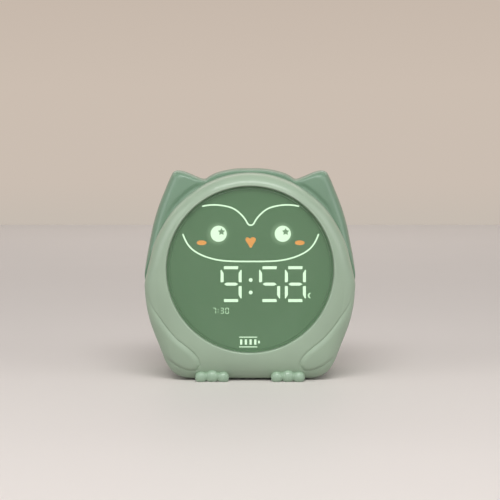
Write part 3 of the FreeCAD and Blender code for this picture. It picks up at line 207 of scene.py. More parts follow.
# Snooze key's edge and dish
KEY_BASE_ZS = (111.6, 113.0)
KEY_INSETS = (0.0, 0.04, 0.14, 0.3, 0.52, 0.9, 1.4, 2.1, 3.0, 4.0, 4.9, 5.6, 6.2, 6.7)
KEY_ROUND = 0.9
KEY_LEAST_CORNER = 0.2
KEY_CORNER_STEPS = 14
KEY_SINK = 0.02
KEY_DISH = 0.45
KEY_DISH_MARGIN_X = 2.5
KEY_DISH_MARGIN_Y = 1.5

# Buttons' dish and raised symbols, and the knob's edge and grooves
BUTTON_DISH = 0.35
BUTTON_DISH_MARGIN = 0.1
DISH_CLOSURE = 0.96
BUTTON_SIDES = 72
BUTTON_STEPS = 8
SYMBOL_STROKE = 0.26
SYMBOL_ROOT = 0.8
SYMBOL_SINK = 0.05
RAY_HALF_W = 0.17
DISC_SIDES = 24
KNOB_CORNER = 0.45
KNOB_ROUND = 0.3
KNOB_STEPS = 3
STEM_CORNER = 0.1
STEM_BITE = 0.5
GROOVE_XS = (-0.9, 0.0, 0.9)
GROOVE_HALF_W = 0.2
GROOVE_SUNK = 0.4

# Lens's edges and the air behind it
LENS_AIR = 0.12
LENS_EDGE = 0.5
LENS_BACK_EDGE = 0.15
LENS_WIDE_SHARE = 0.9
LENS_CORE_SHARE = 0.5
LENS_SIDES = 160
LENS_STEPS = 6

# Feet: half sizes and heights of the fused toes, and the webs between them by depth, height and half sizes
TOE_XS = (-27.9, -21.6, -15.3)
SIDE_TOE = (3.45, 3.0, 3.4)
SIDE_TOE_Z = 2.35
MIDDLE_TOE = (3.75, 3.3, 3.75)
MIDDLE_TOE_Z = 2.75
TOE_POWER = 2.2
TOE_SET_BACK = 0.05
TAIL_SET_BACK = 3.4
TAIL_DROP = 0.1
TAIL_HALF_L = 4.6
TAIL_SHARES = (0.97, 0.96)
WEBS = ((4.9, 2.9, (2.3, 3.4, 2.5)), (7.0, 2.5, (2.9, 4.6, 3.0)))
SOLE_DEPTH = 9.5
SOLE_Z = 1.35
SOLE = (8.2, 7.0, 1.9)
FOOT_VOXEL = 0.22
FOOT_SMOOTH_SHARE = 0.5
FOOT_SMOOTH_ROUNDS = 16

# Painted glow: how far and how strongly the film's colour is painted lighter round each lit eye
PAINTED_GLOW_W = 2.6
PAINTED_GLOW_SHARE = 0.8

# Stage in metres
TABLE_HALF_W = 3.0
TABLE_FRONT = -2.0
WALL_Y = 1.2
WALL_HALF_W = 4.0
WALL_FOOT = -0.5
WALL_TOP = 3.0
WALL_BAND = 0.5
TABLE_BOUNCE = 0.5

# Lamps: place, target, width and height in metres, then watts
CLOCK_MIDDLE = (0, 0, 0.06)
LAMPS = {
    "key_light": ((0.0, -0.62, 0.9), CLOCK_MIDDLE, (0.9, 0.25), 6.3),
    "left_light": ((-0.95, -0.5, 0.45), CLOCK_MIDDLE, (0.7, 0.7), 2.9),
    "right_light": ((0.95, -0.5, 0.45), CLOCK_MIDDLE, (0.7, 0.7), 2.9),
    "front_light": ((0.0, -1.6, 0.55), CLOCK_MIDDLE, (1.2, 0.8), 4.6),
    "table_light": ((0.0, 1.0, 0.8), (0, 0.95, 0), (2.4, 0.3), 4.2),
}
SKY_COLOUR = (0.93, 0.95, 1.0, 1.0)
SKY_STRENGTH = 0.2

# Camera: lengths in pixels of the photo, the distance in metres and the elevation in degrees
PHOTO_PX = 500
FOCAL_PX = 1400.0
LENS_ROW = 270.1
DISTANCE = 0.79
ELEVATION = 6.0
SENSOR_W = 36.0

# What follows from the sizes above
FRONT_Y = -DEPTH / 2
SHELL_BACK = DEPTH - BUTTON_PROUD
BACK_INNER = SHELL_BACK - WALL
FILM_FRONT = LENS_SINK + LENS_T
FILM_BACK = FILM_FRONT + FILM_T
LEDGE_BACK = FILM_BACK + LEDGE_T
LEDGE_R = LENS_OPENING_R - LEDGE_W
FLANGE_R = BUTTON_R + FLANGE_W
FLANGE_BACK = BACK_INNER - RUNNING_GAP
FLANGE_FRONT = FLANGE_BACK - FLANGE_T
KNOB_X = SWITCH_X - KNOB_TRAVEL / 2
KNOB_BACK = SHELL_BACK + KNOB_PROUD
KEY_MIDDLE = (KEY_FRONT + KEY_BACK) / 2
KEY_HALF_D = (KEY_BACK - KEY_FRONT) / 2


# Outline curves

def curve_value(knots, x):
    """The height at x of a smooth curve through the knots, level at both ends."""
    xs, ys = np.array(knots, float).T
    slopes = np.zeros(len(xs))
    slopes[1:-1] = (ys[2:] - ys[:-2]) / (xs[2:] - xs[:-2])
    x = np.clip(np.asarray(x, float), xs[0], xs[-1])
    i = np.clip(np.searchsorted(xs, x, side="right") - 1, 0, len(xs) - 2)
    span = xs[i + 1] - xs[i]
    t = (x - xs[i]) / span
    start = (1 + 2 * t) * (1 - t) ** 2 * ys[i] + t * (1 - t) ** 2 * span * slopes[i]
    return start + t * t * (3 - 2 * t) * ys[i + 1] + t * t * (t - 1) * span * slopes[i + 1]


def smooth_max(a, b, k):
    return np.maximum(a, b) + np.maximum(k - np.abs(a - b), 0.0) ** 2 / (4 * k)


def smooth_min(a, b, k):
    return np.minimum(a, b) - np.maximum(k - np.abs(a - b), 0.0) ** 2 / (4 * k)


def angles_in(stretches):
    """Angles all the way round, from stretches that each have a start, an end and a step."""
    return np.concatenate([np.arange(*stretch) for stretch in stretches])


def folded(turn):
    """The same place on the right half, from -90 to 90 degrees, for an angle all the way round."""
    return np.where(turn > 90, 180 - turn, turn)


def front_radius(angle):
    return INSIDE * (RING_R + curve_value(BELLY_FLARE, angle))


def eared_radius(angle):
    plain = front_radius(angle) + curve_value(DOME_STEP, angle)
    lean = np.radians(angle - 90 - EAR_EDGE_ANGLE)
    edge = EAR_EDGE_REACH / np.maximum(np.cos(lean), EAR_LEAST_COSINE)
    ear = INSIDE * smooth_min(curve_value(EAR_SIDE_R, angle), edge, EAR_TIP_ROUND)
    eared = smooth_max(plain, ear, EAR_VALLEY_ROUND)
    return np.where(angle < EAR_SIDE_R[0][0], plain, eared)


def front_full(turn):
    """Reach and unit direction of the front outline from the lens centre, for angles all the way round."""
    a = np.radians(turn)
    radius = front_radius(folded(turn))
    x = radius * np.cos(a)
    z = smooth_max(LENS_Z + radius * np.sin(a), BODY_LIFT, BASE_CORNER) - LENS_Z
    full = np.hypot(x, z)
    return full, x / full, z / full


def ear_share(depth):
    """How much of the ears is left at a depth: all of it up to the ridge, then less and less."""
    t = np.clip((depth - EAR_RIDGE_DEPTH) / (EAR_END_DEPTH - EAR_RIDGE_DEPTH), 0, 1)
    return 1 - t * t * (3 - 2 * t)


def rear_ring(turn, depth, inset=0.0, ear=1.0):
    """X and Z of the rear skin at one depth, moved in by the inset and with a share of the ears."""
    angle = folded(turn)
    share = np.clip((depth - PARTING_DEPTH) / (EAR_RIDGE_DEPTH - PARTING_DEPTH), 0, 1)
    rounding = 1 - math.sqrt(max(0.0, 1 - (1 - share) ** 2))
    plain = front_radius(angle) + curve_value(DOME_STEP, angle)
    radius = plain + ear * ear_share(depth) * (eared_radius(angle) - plain)
    radius = radius - rounding * curve_value(FRONT_ROUND, angle)
    a = np.radians(turn)
    x = radius * np.cos(a)
    z = smooth_max(LENS_Z + radius * np.sin(a), BODY_LIFT, BASE_CORNER)
    rise = (np.sin(a) + 1) / 2
    start = BACK_START_BASE + (BACK_START_TOP - BACK_START_BASE) * rise
    t = np.clip((depth - start) / (SHELL_BACK - start), 0, 1)
    scale = 1 - (1 - BACK_SCALE) * (1 - np.sqrt(np.maximum(0.0, 1 - t * t)))
    x = x * scale
    z = (z - BACK_CENTRE_Z) * scale
    length = np.hypot(x, z)
    pull = (length - inset) / length
    return x * pull, BACK_CENTRE_Z + z * pull


def rear_top(x, depth):
    """The height of the rear skin's top at an X and a depth."""
    rx, rz = rear_ring(np.linspace(*TOP_ANGLES), depth)
    order = np.argsort(rx)
    return float(np.interp(x, rx[order], rz[order]))


def smooth_line(points):
    """Points along a smooth curve through the given ones."""
    pts = np.array(points, float)
    padded = np.vstack([2 * pts[0] - pts[1], pts, 2 * pts[-1] - pts[-2]])
    made = []
    for i in range(1, len(padded) - 2):
        p0, p1, p2, p3 = padded[i - 1:i + 3]
        for t in np.arange(CURVE_STEPS) / CURVE_STEPS:
            made.append(0.5 * (2 * p1 + (p2 - p0) * t + (2 * p0 - 5 * p1 + 4 * p2 - p3) * t ** 2
                               + (3 * p1 - p0 - 3 * p2 + p3) * t ** 3))
    made.append(pts[-1])
    return np.array(made)


# Meshes

def new_object(name, data):
    """An object in the scene, with a mesh, a lamp or a camera as its data."""
    obj = bpy.data.objects.new(name, data)
    bpy.context.scene.collection.objects.link(obj)
    return obj


def solid(name, points, faces):
    """An object from points in millimetres, with its normals facing outwards."""
    mesh = bpy.data.meshes.new(name)
    mesh.from_pydata((np.asarray(points, float) * MM).tolist(), [], faces)
    mesh.update()
    bm = bmesh.new()
    bm.from_mesh(mesh)
    bmesh.ops.remove_doubles(bm, verts=bm.verts, dist=WELD_M)
    bmesh.ops.dissolve_degenerate(bm, edges=bm.edges, dist=SLIVER_M)
    bmesh.ops.recalc_face_normals(bm, faces=bm.faces)
    bm.to_mesh(mesh)
    bm.free()
    return new_object(name, mesh)


def loop_at(x, z, depth):
    """A loop of points at one depth or at one for each point."""
    return np.column_stack([x, FRONT_Y + depth * np.ones(len(x)), z])


def band_faces(rows, columns, closed=False, gap=None):
    """Quads between each loop of points and the next, with none after the loop at the gap."""
    faces = []
    for i in range(rows if closed else rows - 1):
        if i == gap:
            continue
        a = i * columns
        b = (i + 1) % rows * columns
        for j in range(columns):
            k = (j + 1) % columns
            faces.append((a + j, a + k, b + k, b + j))
    return faces


def lathe(name, profile, x, z, steps):
    """A solid with a profile of radius and depth, turned round an axis that runs back at x, z."""
    points = []
    for r, depth in profile:
        for j in range(steps):
            a = 2 * math.pi * j / steps
            points.append((x + r * math.cos(a), FRONT_Y + depth, z + r * math.sin(a)))
    faces = band_faces(len(profile), steps)
    for depth, base in ((profile[0][1], 0), (profile[-1][1], (len(profile) - 1) * steps)):
        pole = len(points)
        points.append((x, FRONT_Y + depth, z))
        faces += [(base + j, base + (j + 1) % steps, pole) for j in range(steps)]
    return solid(name, points, faces)


def loop_prism(name, loops):
    """A closed solid through loops of points with the same count, capped at both ends."""
    count = len(loops[0])
    last = (len(loops) - 1) * count
    faces = band_faces(len(loops), count)
    faces.append(tuple(range(count)))
    faces.append(tuple(range(last, last + count)))
    return solid(name, np.vstack(loops), faces)


def backward_solid(name, x, z, outlines):
    """A solid along Y through outlines round x, z, each given with its depth."""
    return loop_prism(name, [[(x + a, FRONT_Y + depth, z + b) for a, b in outline]
                             for outline, depth in outlines])


def prism(name, x, z, outline, front, back):
    """A prism along Y between two depths, with its outline round x, z."""
    return backward_solid(name, x, z, ((outline, front), (outline, back)))


def quarter_turn(steps):
    return [math.pi / 2 * i / steps for i in range(steps + 1)]


def rounded_loop(half_w, half_h, corner, steps=8):
    """Points round a rectangle with round corners, as two coordinates from its middle."""
    loop = []
    for side_x, side_z, first in ((1, 1, 0), (-1, 1, 1), (-1, -1, 2), (1, -1, 3)):
        for turn in quarter_turn(steps):
            a = first * math.pi / 2 + turn
            loop.append((side_x * (half_w - corner) + corner * math.cos(a),
                         side_z * (half_h - corner) + corner * math.sin(a)))
    return loop


def joined(name, objects):
    """One object from several, with their meshes merged."""
    bm = bmesh.new()
    for obj in objects:
        bm.from_mesh(obj.data)
    mesh = bpy.data.meshes.new(name)
    bm.to_mesh(mesh)
    bm.free()
    for obj in objects:
        bpy.data.objects.remove(obj)
    return new_object(name, mesh)


def bake(obj):
    """Turn an object's modifiers into mesh."""
    bpy.context.view_layer.update()
    evaluated = obj.evaluated_get(bpy.context.evaluated_depsgraph_get())
    mesh = bpy.data.meshes.new_from_object(evaluated)
    obj.modifiers.clear()
    obj.data = mesh


def boolean(obj, cutter, operation):
    """Cut or widen an object with an exact boolean, and remove the cutter."""
    modifier = obj.modifiers.new("cut", "BOOLEAN")
    modifier.operation = operation
    modifier.object = cutter
    modifier.solver = "EXACT"
    bake(obj)
    bpy.data.objects.remove(cutter)


def dress(obj, slot, node, sharp, body="case"):
    """Shade a piece, with edges sharp from an angle in degrees, and let it ride in place of a CAD node."""
    mesh = obj.data
    mesh.materials.clear()
    mesh.materials.append(MATERIALS[slot])
    mesh.shade_smooth()
    mesh.set_sharp_from_angle(angle=math.radians(sharp))
    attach(obj, body)
    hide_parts(node)


# Materials

def srgb(*levels):
    """A linear colour from screen levels of 0 to 255."""
    shares = [level / 255 for level in levels]
    return tuple(s / 12.92 if s <= 0.04045 else ((s + 0.055) / 1.055) ** 2.4 for s in shares) + (1.0,)


def shade(colour, share):
    """A colour made darker or lighter by a share."""
    return (colour[0] * share, colour[1] * share, colour[2] * share, 1.0)


FRONT_COLOUR = srgb(164, 184, 160)
REAR_COLOUR = srgb(123, 152, 128)
BUTTON_COLOUR = srgb(158, 178, 157)
FOOT_COLOUR = srgb(157, 183, 157)
INK = srgb(117, 152, 116)
TABLE_COLOUR = srgb(233, 226, 221)
# The wall's colours by height, with painted shade: darker towards the top and a little darker at its foot
WALL_SHADED_COLOURS = ((0.0, srgb(198, 188, 177)), (0.12, srgb(203, 190, 178)), (0.4, srgb(204, 190, 177)),
                (1.0, srgb(193, 178, 165)))


class Paint:
    """A node material round one Principled shader, with its texture nodes in object space."""

    def __init__(self, name, roughness, specular, metallic=0.0):
        self.material = bpy.data.materials.new(name)
        self.material.use_nodes = True
        self.tree = self.material.node_tree
        self.shader = self.tree.nodes["Principled BSDF"]
        self.shader.inputs["Roughness"].default_value = roughness
        self.shader.inputs["Specular IOR Level"].default_value = specular
        self.shader.inputs["Metallic"].default_value = metallic
        self.coords = self.tree.nodes.new("ShaderNodeTexCoord").outputs["Object"]

    def node(self, kind, **inputs):
        made = self.tree.nodes.new(kind)
        for key, value in inputs.items():
            made.inputs[key.replace("_", " ")].default_value = value
        return made

    def link(self, a, b):
        self.tree.links.new(a, b)

    def noise(self, scale, detail=2.0, roughness=0.5, stretch=None):
        made = self.node("ShaderNodeTexNoise", Scale=scale, Detail=detail, Roughness=roughness)
        source = self.coords
        if stretch:
            mapping = self.node("ShaderNodeMapping", Scale=stretch)
            self.link(self.coords, mapping.inputs["Vector"])
            source = mapping.outputs["Vector"]
        self.link(source, made.inputs["Vector"])
        return made.outputs["Fac"]

    def spread(self, value, to_low=0.0, to_high=1.0, low=0.3, high=0.7):
        """A value carried from one span, by default that of most noise, to another."""
        made = self.node("ShaderNodeMapRange", From_Min=low, From_Max=high, To_Min=to_low, To_Max=to_high)
        self.link(value, made.inputs["Value"])
        return made.outputs["Result"]

    def mix(self, factor, first, second):
        """A blend of two colours, each a constant or a socket."""
        made = self.tree.nodes.new("ShaderNodeMix")
        made.data_type = "RGBA"
        for socket, value in ((made.inputs[6], first), (made.inputs[7], second)):
            if isinstance(value, tuple):
                socket.default_value = value
            else:
                self.link(value, socket)
        self.link(factor, made.inputs[0])
        return made.outputs[2]

    def colour(self, value):
        self.link(value, self.shader.inputs["Base Color"])

    def rough(self, value):
        self.link(value, self.shader.inputs["Roughness"])

    def bump(self, height, distance, strength):
        made = self.node("ShaderNodeBump", Strength=strength, Distance=distance)
        self.link(height, made.inputs["Height"])
        self.link(made.outputs["Normal"], self.shader.inputs["Normal"])


def moulded(name, colour, roughness, grain=2600.0, depth=0.000012, sheen=0.0):
    """Satin moulded plastic: fine grain, slow changes of tone and gloss, and any clear sheen on top."""
    p = Paint(name, roughness, specular=0.45)
    p.shader.inputs["Coat Weight"].default_value = sheen
    p.shader.inputs["Coat Roughness"].default_value = 0.14
    tone = p.noise(scale=28.0, detail=3.0, roughness=0.55)
    gloss = p.noise(scale=140.0, detail=3.0, roughness=0.6)
    p.colour(p.mix(p.spread(tone), shade(colour, 0.95), shade(colour, 1.05)))
    p.rough(p.spread(gloss, roughness - 0.045, roughness + 0.045))
    p.bump(p.noise(grain, roughness=0.6), depth, strength=0.6)
    return p.material


def lit(name, colour, glow, strength):
    """A clear plug lit from behind: an even glow with a faint cloudiness."""
    p = Paint(name, roughness=0.35, specular=0.3)
    p.colour(p.mix(p.spread(p.noise(scale=900.0)), shade(colour, 0.9), colour))
    p.shader.inputs["Emission Color"].default_value = glow
    p.shader.inputs["Emission Strength"].default_value = strength
    p.bump(p.noise(scale=3000.0), distance=0.000004, strength=0.4)
    return p.material


def metal(name, colour):
    """Plated steel with fine drawn lines."""
    p = Paint(name, roughness=0.3, specular=0.5, metallic=1.0)
    lines = p.noise(scale=500.0, detail=3.0, roughness=0.6, stretch=(1.0, 14.0, 1.0))
    p.colour(p.mix(p.spread(lines), shade(colour, 0.86), colour))
    p.rough(p.spread(lines, 0.22, 0.4))
    p.bump(lines, distance=0.000008, strength=0.4)
    return p.material


def board(name):
    """Green solder mask with a faint relief of copper tracks under it."""
    p = Paint(name, roughness=0.35, specular=0.5)
    brick = p.node("ShaderNodeTexBrick", Scale=260.0, Mortar_Size=0.03)
    p.link(p.coords, brick.inputs["Vector"])
    tracks = brick.outputs["Fac"]
    p.colour(p.mix(tracks, srgb(26, 92, 58), srgb(38, 118, 74)))
    p.rough(p.spread(p.noise(scale=300.0), 0.28, 0.42))
    p.bump(tracks, distance=0.00003, strength=0.5)
    return p.material


def woven(name, colour, scale):
    """Fine cloth or treated paper: two crossing sets of threads."""
    p = Paint(name, roughness=0.85, specular=0.2)
    product = p.tree.nodes.new("ShaderNodeMath")
    product.operation = "MULTIPLY"
    for socket, direction in zip(product.inputs, ("X", "Z")):
        wave = p.node("ShaderNodeTexWave", Scale=scale, Distortion=0.4)
        wave.bands_direction = direction
        p.link(p.coords, wave.inputs["Vector"])
        p.link(wave.outputs["Fac"], socket)
    weave = product.outputs[0]
    p.colour(p.mix(weave, shade(colour, 0.5), shade(colour, 1.3)))
    p.rough(p.spread(weave, 0.95, 0.75, low=0.0, high=1.0))
    p.bump(weave, distance=0.00008, strength=0.7)
    return p.material


def ribbon(name):
    """Flat cable: pale film over copper strips that run along it."""
    p = Paint(name, roughness=0.3, specular=0.5)
    wave = p.node("ShaderNodeTexWave", Scale=160.0)
    p.link(p.coords, wave.inputs["Vector"])
    strips = p.spread(wave.outputs["Fac"], low=0.4, high=0.6)
    p.colour(p.mix(strips, srgb(232, 230, 222), srgb(196, 170, 130)))
    p.rough(p.spread(p.noise(scale=400.0), 0.24, 0.36))
    p.bump(strips, distance=0.00003, strength=0.5)
    return p.material


def foil(name):
    """A battery pouch: pale foil with soft creases."""
    p = Paint(name, roughness=0.32, specular=0.5, metallic=0.8)
    crease = p.noise(scale=120.0, detail=4.0, roughness=0.6)
    p.colour(p.mix(p.spread(crease), srgb(168, 178, 190), srgb(205, 212, 220)))
    p.rough(p.spread(crease, 0.26, 0.42))
    p.bump(crease, distance=0.00015, strength=0.5)
    return p.material


def film(name):
    """Printed green film: even ink with a very fine speckle, and a faint painted glow, a lighter colour
    painted round each lit eye.
    """
    p = Paint(name, roughness=0.5, specular=0.35)
    speckle = p.noise(scale=5200.0, roughness=0.6)
    tone = p.mix(p.spread(p.noise(scale=16.0)), shade(INK, 0.97), shade(INK, 1.03))
    tone = p.mix(p.spread(speckle, 0.0, 0.5, low=0.35, high=0.65), tone, shade(INK, 1.06))
    # Painted glow: the colour turns lighter near each eye, in place of the light the lit eyes throw on the
    # film
    for side in (-1, 1):
        away = p.tree.nodes.new("ShaderNodeVectorMath")
        away.operation = "DISTANCE"
        p.link(p.coords, away.inputs[0])
        away.inputs[1].default_value = Vector((side * EYE_X, FRONT_Y + FILM_FRONT, LENS_Z + EYE_Z)) * MM
        near = p.spread(away.outputs["Value"], PAINTED_GLOW_SHARE, 0.0, low=EYE_R * MM, high=(EYE_R + PAINTED_GLOW_W) * MM)
        tone = p.mix(near, tone, srgb(172, 205, 168))
    p.colour(tone)
    p.rough(p.spread(speckle, 0.46, 0.56))
    p.bump(speckle, distance=0.000004, strength=0.4)
    return p.material


def tinted(name):
    """Tinted acrylic window: a little of the green is in its face, and lights shine through from behind."""
    p = Paint(name, roughness=0.14, specular=0.5)
    p.shader.inputs["Alpha"].default_value = 0.2
    p.shader.inputs["IOR"].default_value = 1.49
    p.colour(p.mix(p.noise(scale=20.0), shade(INK, 0.98), shade(INK, 1.02)))
    p.rough(p.spread(p.noise(scale=220.0, detail=3.0, roughness=0.6), 0.1, 0.17))
    return p.material


MATERIALS = {
    "front_case": moulded("front_satin", FRONT_COLOUR, 0.4, sheen=0.35),
    "rear_case": moulded("rear_satin", REAR_COLOUR, 0.38, sheen=0.35),
    "snooze": moulded("snooze_satin", REAR_COLOUR, 0.4, sheen=0.35),
    "button": moulded("button_satin", BUTTON_COLOUR, 0.42),
    "foot_rubber": moulded("foot_satin", FOOT_COLOUR, 0.3, sheen=0.5),
    "lens": tinted("tinted_acrylic"),
    "tape": moulded("foam_tape", srgb(34, 34, 34), 0.85, 900.0, 0.00006),
    "film": film("printed_film"),
    "lit_green": lit("lit_pale_green", srgb(120, 140, 118), srgb(224, 253, 220), 1.4),
    "dim_green": lit("dim_green", srgb(110, 138, 110), srgb(190, 222, 186), 1.45),
    "lit_orange": lit("lit_orange", srgb(150, 105, 60), srgb(240, 155, 72), 1.1),
    "white_plastic": moulded("white_moulded", srgb(228, 228, 223), 0.5, 1800.0),
    "board": board("circuit_board"),
    "led": moulded("led_resin", srgb(244, 240, 214), 0.2, 1200.0, 0.000004),
    "chip": moulded("chip_mould", srgb(30, 30, 32), 0.55, 3600.0, 0.00002),
    "steel": metal("plated_steel", (0.62, 0.62, 0.62, 1.0)),
    "black_plastic": moulded("black_moulded", srgb(32, 32, 33), 0.45, 2200.0),
    "stem": moulded("stem_moulded", srgb(214, 212, 202), 0.4, 1800.0),
    "cone": woven("speaker_cloth", srgb(46, 46, 46), 700.0),
    "lead": moulded("wire_sleeve", srgb(170, 40, 36), 0.4, 1500.0, 0.00001),
    "ribbon": ribbon("flat_cable"),
    "battery": foil("battery_foil"),
}

for row in frame["record"]["subparts"]:
    materials = frame["nodes"][row["node"]].data.materials
    materials.clear()
    materials.append(MATERIALS[row["material_slot"]])


# Front shell

def wing_distance(x, z):
    """How far a point, in X and Z from the lens centre, is inside the wing's edge; negative outside."""
    edge = np.vstack([smooth_line(WING_UPPER)[:-1], smooth_line(WING_LOWER)])
    px = -np.abs(x)
    nearest = np.full(px.shape, np.inf)
    inside = np.zeros(px.shape, bool)
    for i, (ax, az) in enumerate(edge):
        bx, bz = edge[(i + 1) % len(edge)]
        dx, dz = bx - ax, bz - az
        inside ^= ((az > z) != (bz > z)) & (px < dx * (z - az) / (dz + TINY) + ax)
        # The last stretch lies off the shell and only closes the outline
        if i + 1 < len(edge):
            t = np.clip(((px - ax) * dx + (z - az) * dz) / (dx * dx + dz * dz), 0, 1)
            nearest = np.minimum(nearest, (px - ax - t * dx) ** 2 + (z - az - t * dz) ** 2)
    distance = np.sqrt(nearest)
    return np.where(inside, distance, -distance)


def wing_lift(inside):
    """The wing's height at a distance inside its edge: a soft shoulder, with a fine groove round it."""
    t = np.clip((inside + WING_SHOULDER_OUT) / WING_SHOULDER, 0, 1)
    groove = np.exp(-((inside + WING_GROOVE_OUT) / WING_GROOVE_W) ** 2)
    return WING_FRONT_RISE * np.sin(t * math.pi / 2) - WING_GROOVE_DEEP * groove


def front_face(full, ux, uz, fade, side_lift):
    """Loops from the lip of the lens opening out over the face to the side, with the wings raised on it."""
    spans = full - LENS_OPENING_R
    start = np.arcsin(np.clip(LIP_ROUND / spans, 0, 1))
    turns = [np.arcsin(np.clip(share * LIP_ROUND / spans, 0, 1)) for share in LIP_SHARES]
    turns += [start + (math.pi / 2 - start) * i / FACE_STEPS for i in range(FACE_STEPS + 1)]
    loops = []
    for place in turns:
        depth = EDGE_DEPTH * (1 - np.cos(place))
        draft = WALL_DRAFT * np.maximum(0.0, PARTING_DEPTH - depth) / PARTING_DEPTH
        reach = LENS_OPENING_R + (spans - draft) * np.sin(place)
        near_lip = np.clip(1 - (reach - LENS_OPENING_R) / LIP_ROUND, 0, 1)
        lip_fall = LIP_ROUND * (1 - np.sqrt(1 - near_lip ** 2))
        near_side = np.clip(1 - (full - reach) / SIDE_BLEND, 0, 1)
        front_lift = wing_lift(wing_distance(ux * reach, uz * reach)) * fade
        lift = front_lift * (1 - near_side) + side_lift * near_side
        lifted = reach + lift * np.sin(place)
        loops.append(loop_at(ux * lifted, LENS_Z + uz * lifted, depth + lip_fall - lift * np.cos(place)))
    return loops


def make_front():
    """The ring, chin and wings, from the ledge out over the face and back along the inside."""
    turn = angles_in(FRONT_STRETCHES)
    full, ux, uz = front_full(turn)
    fade = curve_value(WING_FADE, folded(turn))
    side_lift = WING_RISE * fade * curve_value(WING_SIDE_FADE, folded(turn))

    def at(reach, depth):
        return loop_at(ux * reach, LENS_Z + uz * reach, depth)

    loops = [at(LEDGE_R, LEDGE_BACK), at(LEDGE_R, FILM_BACK), at(LENS_OPENING_R, FILM_BACK)]
    loops += [at(LENS_OPENING_R, depth) for depth in OPENING_DEPTHS]
    loops += front_face(full, ux, uz, fade, side_lift)
    for depth in np.linspace(EDGE_DEPTH, PARTING_DEPTH - SEAM_CHAMFER, SIDE_ROWS)[1:]:
        draft = WALL_DRAFT * (PARTING_DEPTH - depth) / PARTING_DEPTH
        loops.append(at(full - draft + side_lift, depth))
    loops += [at(full - inset, PARTING_DEPTH - before) for inset, before in SEAM_ROWS]
    loops += [at(full - INNER_INSET, depth) for depth in INNER_FRONT_DEPTHS]
    at_ledge = math.degrees(math.acos(1 - LEDGE_BACK / EDGE_DEPTH))
    for place in np.radians(np.linspace(INNER_FACE_ANGLE, at_ledge, INNER_FACE_ROWS)):
        reach = LENS_OPENING_R - WALL + (full - LENS_OPENING_R) * math.sin(place)
        loops.append(at(reach, EDGE_DEPTH * (1 - math.cos(place))))
    shell = solid("front_shell_body", np.vstack(loops), band_faces(len(loops), len(turn), closed=True))
    dress(shell, "front_case", "front_shell", sharp=40)


make_front()


# Rear shell

def rear_front_loops(turn):
    """The rim, the seam's shadow line and the band out to the skin, with a valley at the foot of the ears."""
    full, ux, uz = front_full(turn)
    loops = [loop_at(ux * (full - inset), LENS_Z + uz * (full - inset), PARTING_DEPTH + behind)
             for inset, behind in RIM_ROWS]
    x0 = ux * (full - BAND_INSET)
    z0 = LENS_Z + uz * (full - BAND_INSET)
    x1, z1 = rear_ring(turn, PARTING_DEPTH)
    width = np.hypot(x1 - x0, z1 - z0)
    growth = np.clip((width - VALLEY_BAND) / VALLEY_GROWTH, 0, 1)
    for share in np.linspace(0, 1, BAND_ROWS):
        valley = VALLEY_DEEP * growth * np.exp(-((share * width - VALLEY_PLACE) / VALLEY_W) ** 2)
        loops.append(loop_at(x0 + (x1 - x0) * share, z0 + (z1 - z0) * share,
                             PARTING_DEPTH + (BAND_FALL + valley) * (1 - share)))
    return loops


def rear_skin_loops(turn):
    """The skin from the parting plane to the back face, closer together where it curves."""
    near_arc = 1 - np.cos(np.linspace(0, math.pi / 2, NEAR_ROWS))[1:]
    far_arc = np.sin(np.linspace(0, math.pi / 2, FAR_ROWS))[1:]
    depths = np.concatenate([PARTING_DEPTH + (EAR_RIDGE_DEPTH - PARTING_DEPTH) * near_arc,
                             EAR_RIDGE_DEPTH + (SHELL_BACK - EAR_RIDGE_DEPTH) * far_arc])
    loops = [loop_at(*rear_ring(turn, depth), depth) for depth in depths]
    return loops + pulled_in(rear_ring(turn, SHELL_BACK), SHELL_BACK, BACK_PULLS)


def rear_inner_loops(turn):
    """The inner skin, from the middle of the back wall forward to the rim."""
    loops = pulled_in(rear_ring(turn, BACK_INNER, WALL, INNER_EAR), BACK_INNER, INNER_BACK_PULLS)
    for depth in (BACK_INNER,) + INNER_DEPTHS:
        loops.append(loop_at(*rear_ring(turn, depth, WALL, INNER_EAR), depth))
    return loops


def pulled_in(ring, depth, pulls):
    """Loops like the ring, shrunk towards the back's centre."""
    x, z = ring
    return [loop_at(x * pull, BACK_CENTRE_Z + (z - BACK_CENTRE_Z) * pull, depth) for pull in pulls]


def column_places():
    places = []
    for reach, angle in COLUMNS:
        x = reach * math.cos(math.radians(angle))
        z = LENS_Z + reach * math.sin(math.radians(angle))
        places += [(x, z), (-x, z)]
    return places


def grille_places():
    places = [(0.0, SPEAKER_Z)]
    for ring in range(1, GRILLE_RINGS + 1):
        for i in range(6 * ring):
            a = 2 * math.pi * i / (6 * ring)
            places.append((ring * GRILLE_PITCH * math.cos(a), SPEAKER_Z + ring * GRILLE_PITCH * math.sin(a)))
    return places


def round_cutter(x, z, radius, flare, steps):
    """A round cutter that opens out at the back face."""
    profile = [(radius, CUT_FRONT), (radius, SHELL_BACK - flare), (radius + flare, SHELL_BACK),
               (radius + flare, SHELL_BACK + CUT_PAST)]
    return lathe("hole", profile, x, z, steps)


def slot_cutter(x, z, half_w, half_h, corner, flare):
    """A cutter with round corners that opens out at the back face."""
    plain = rounded_loop(half_w, half_h, corner)
    wide = rounded_loop(half_w + flare, half_h + flare, corner + flare)
    return backward_solid("hole", x, z, ((plain, CUT_FRONT), (plain, SHELL_BACK - flare), (wide, SHELL_BACK),
                                         (wide, SHELL_BACK + CUT_PAST)))


def key_loop(outline, z):
    """A level loop of points round the middle of the snooze key."""
    return [(a, FRONT_Y + KEY_MIDDLE + b, z) for a, b in outline]


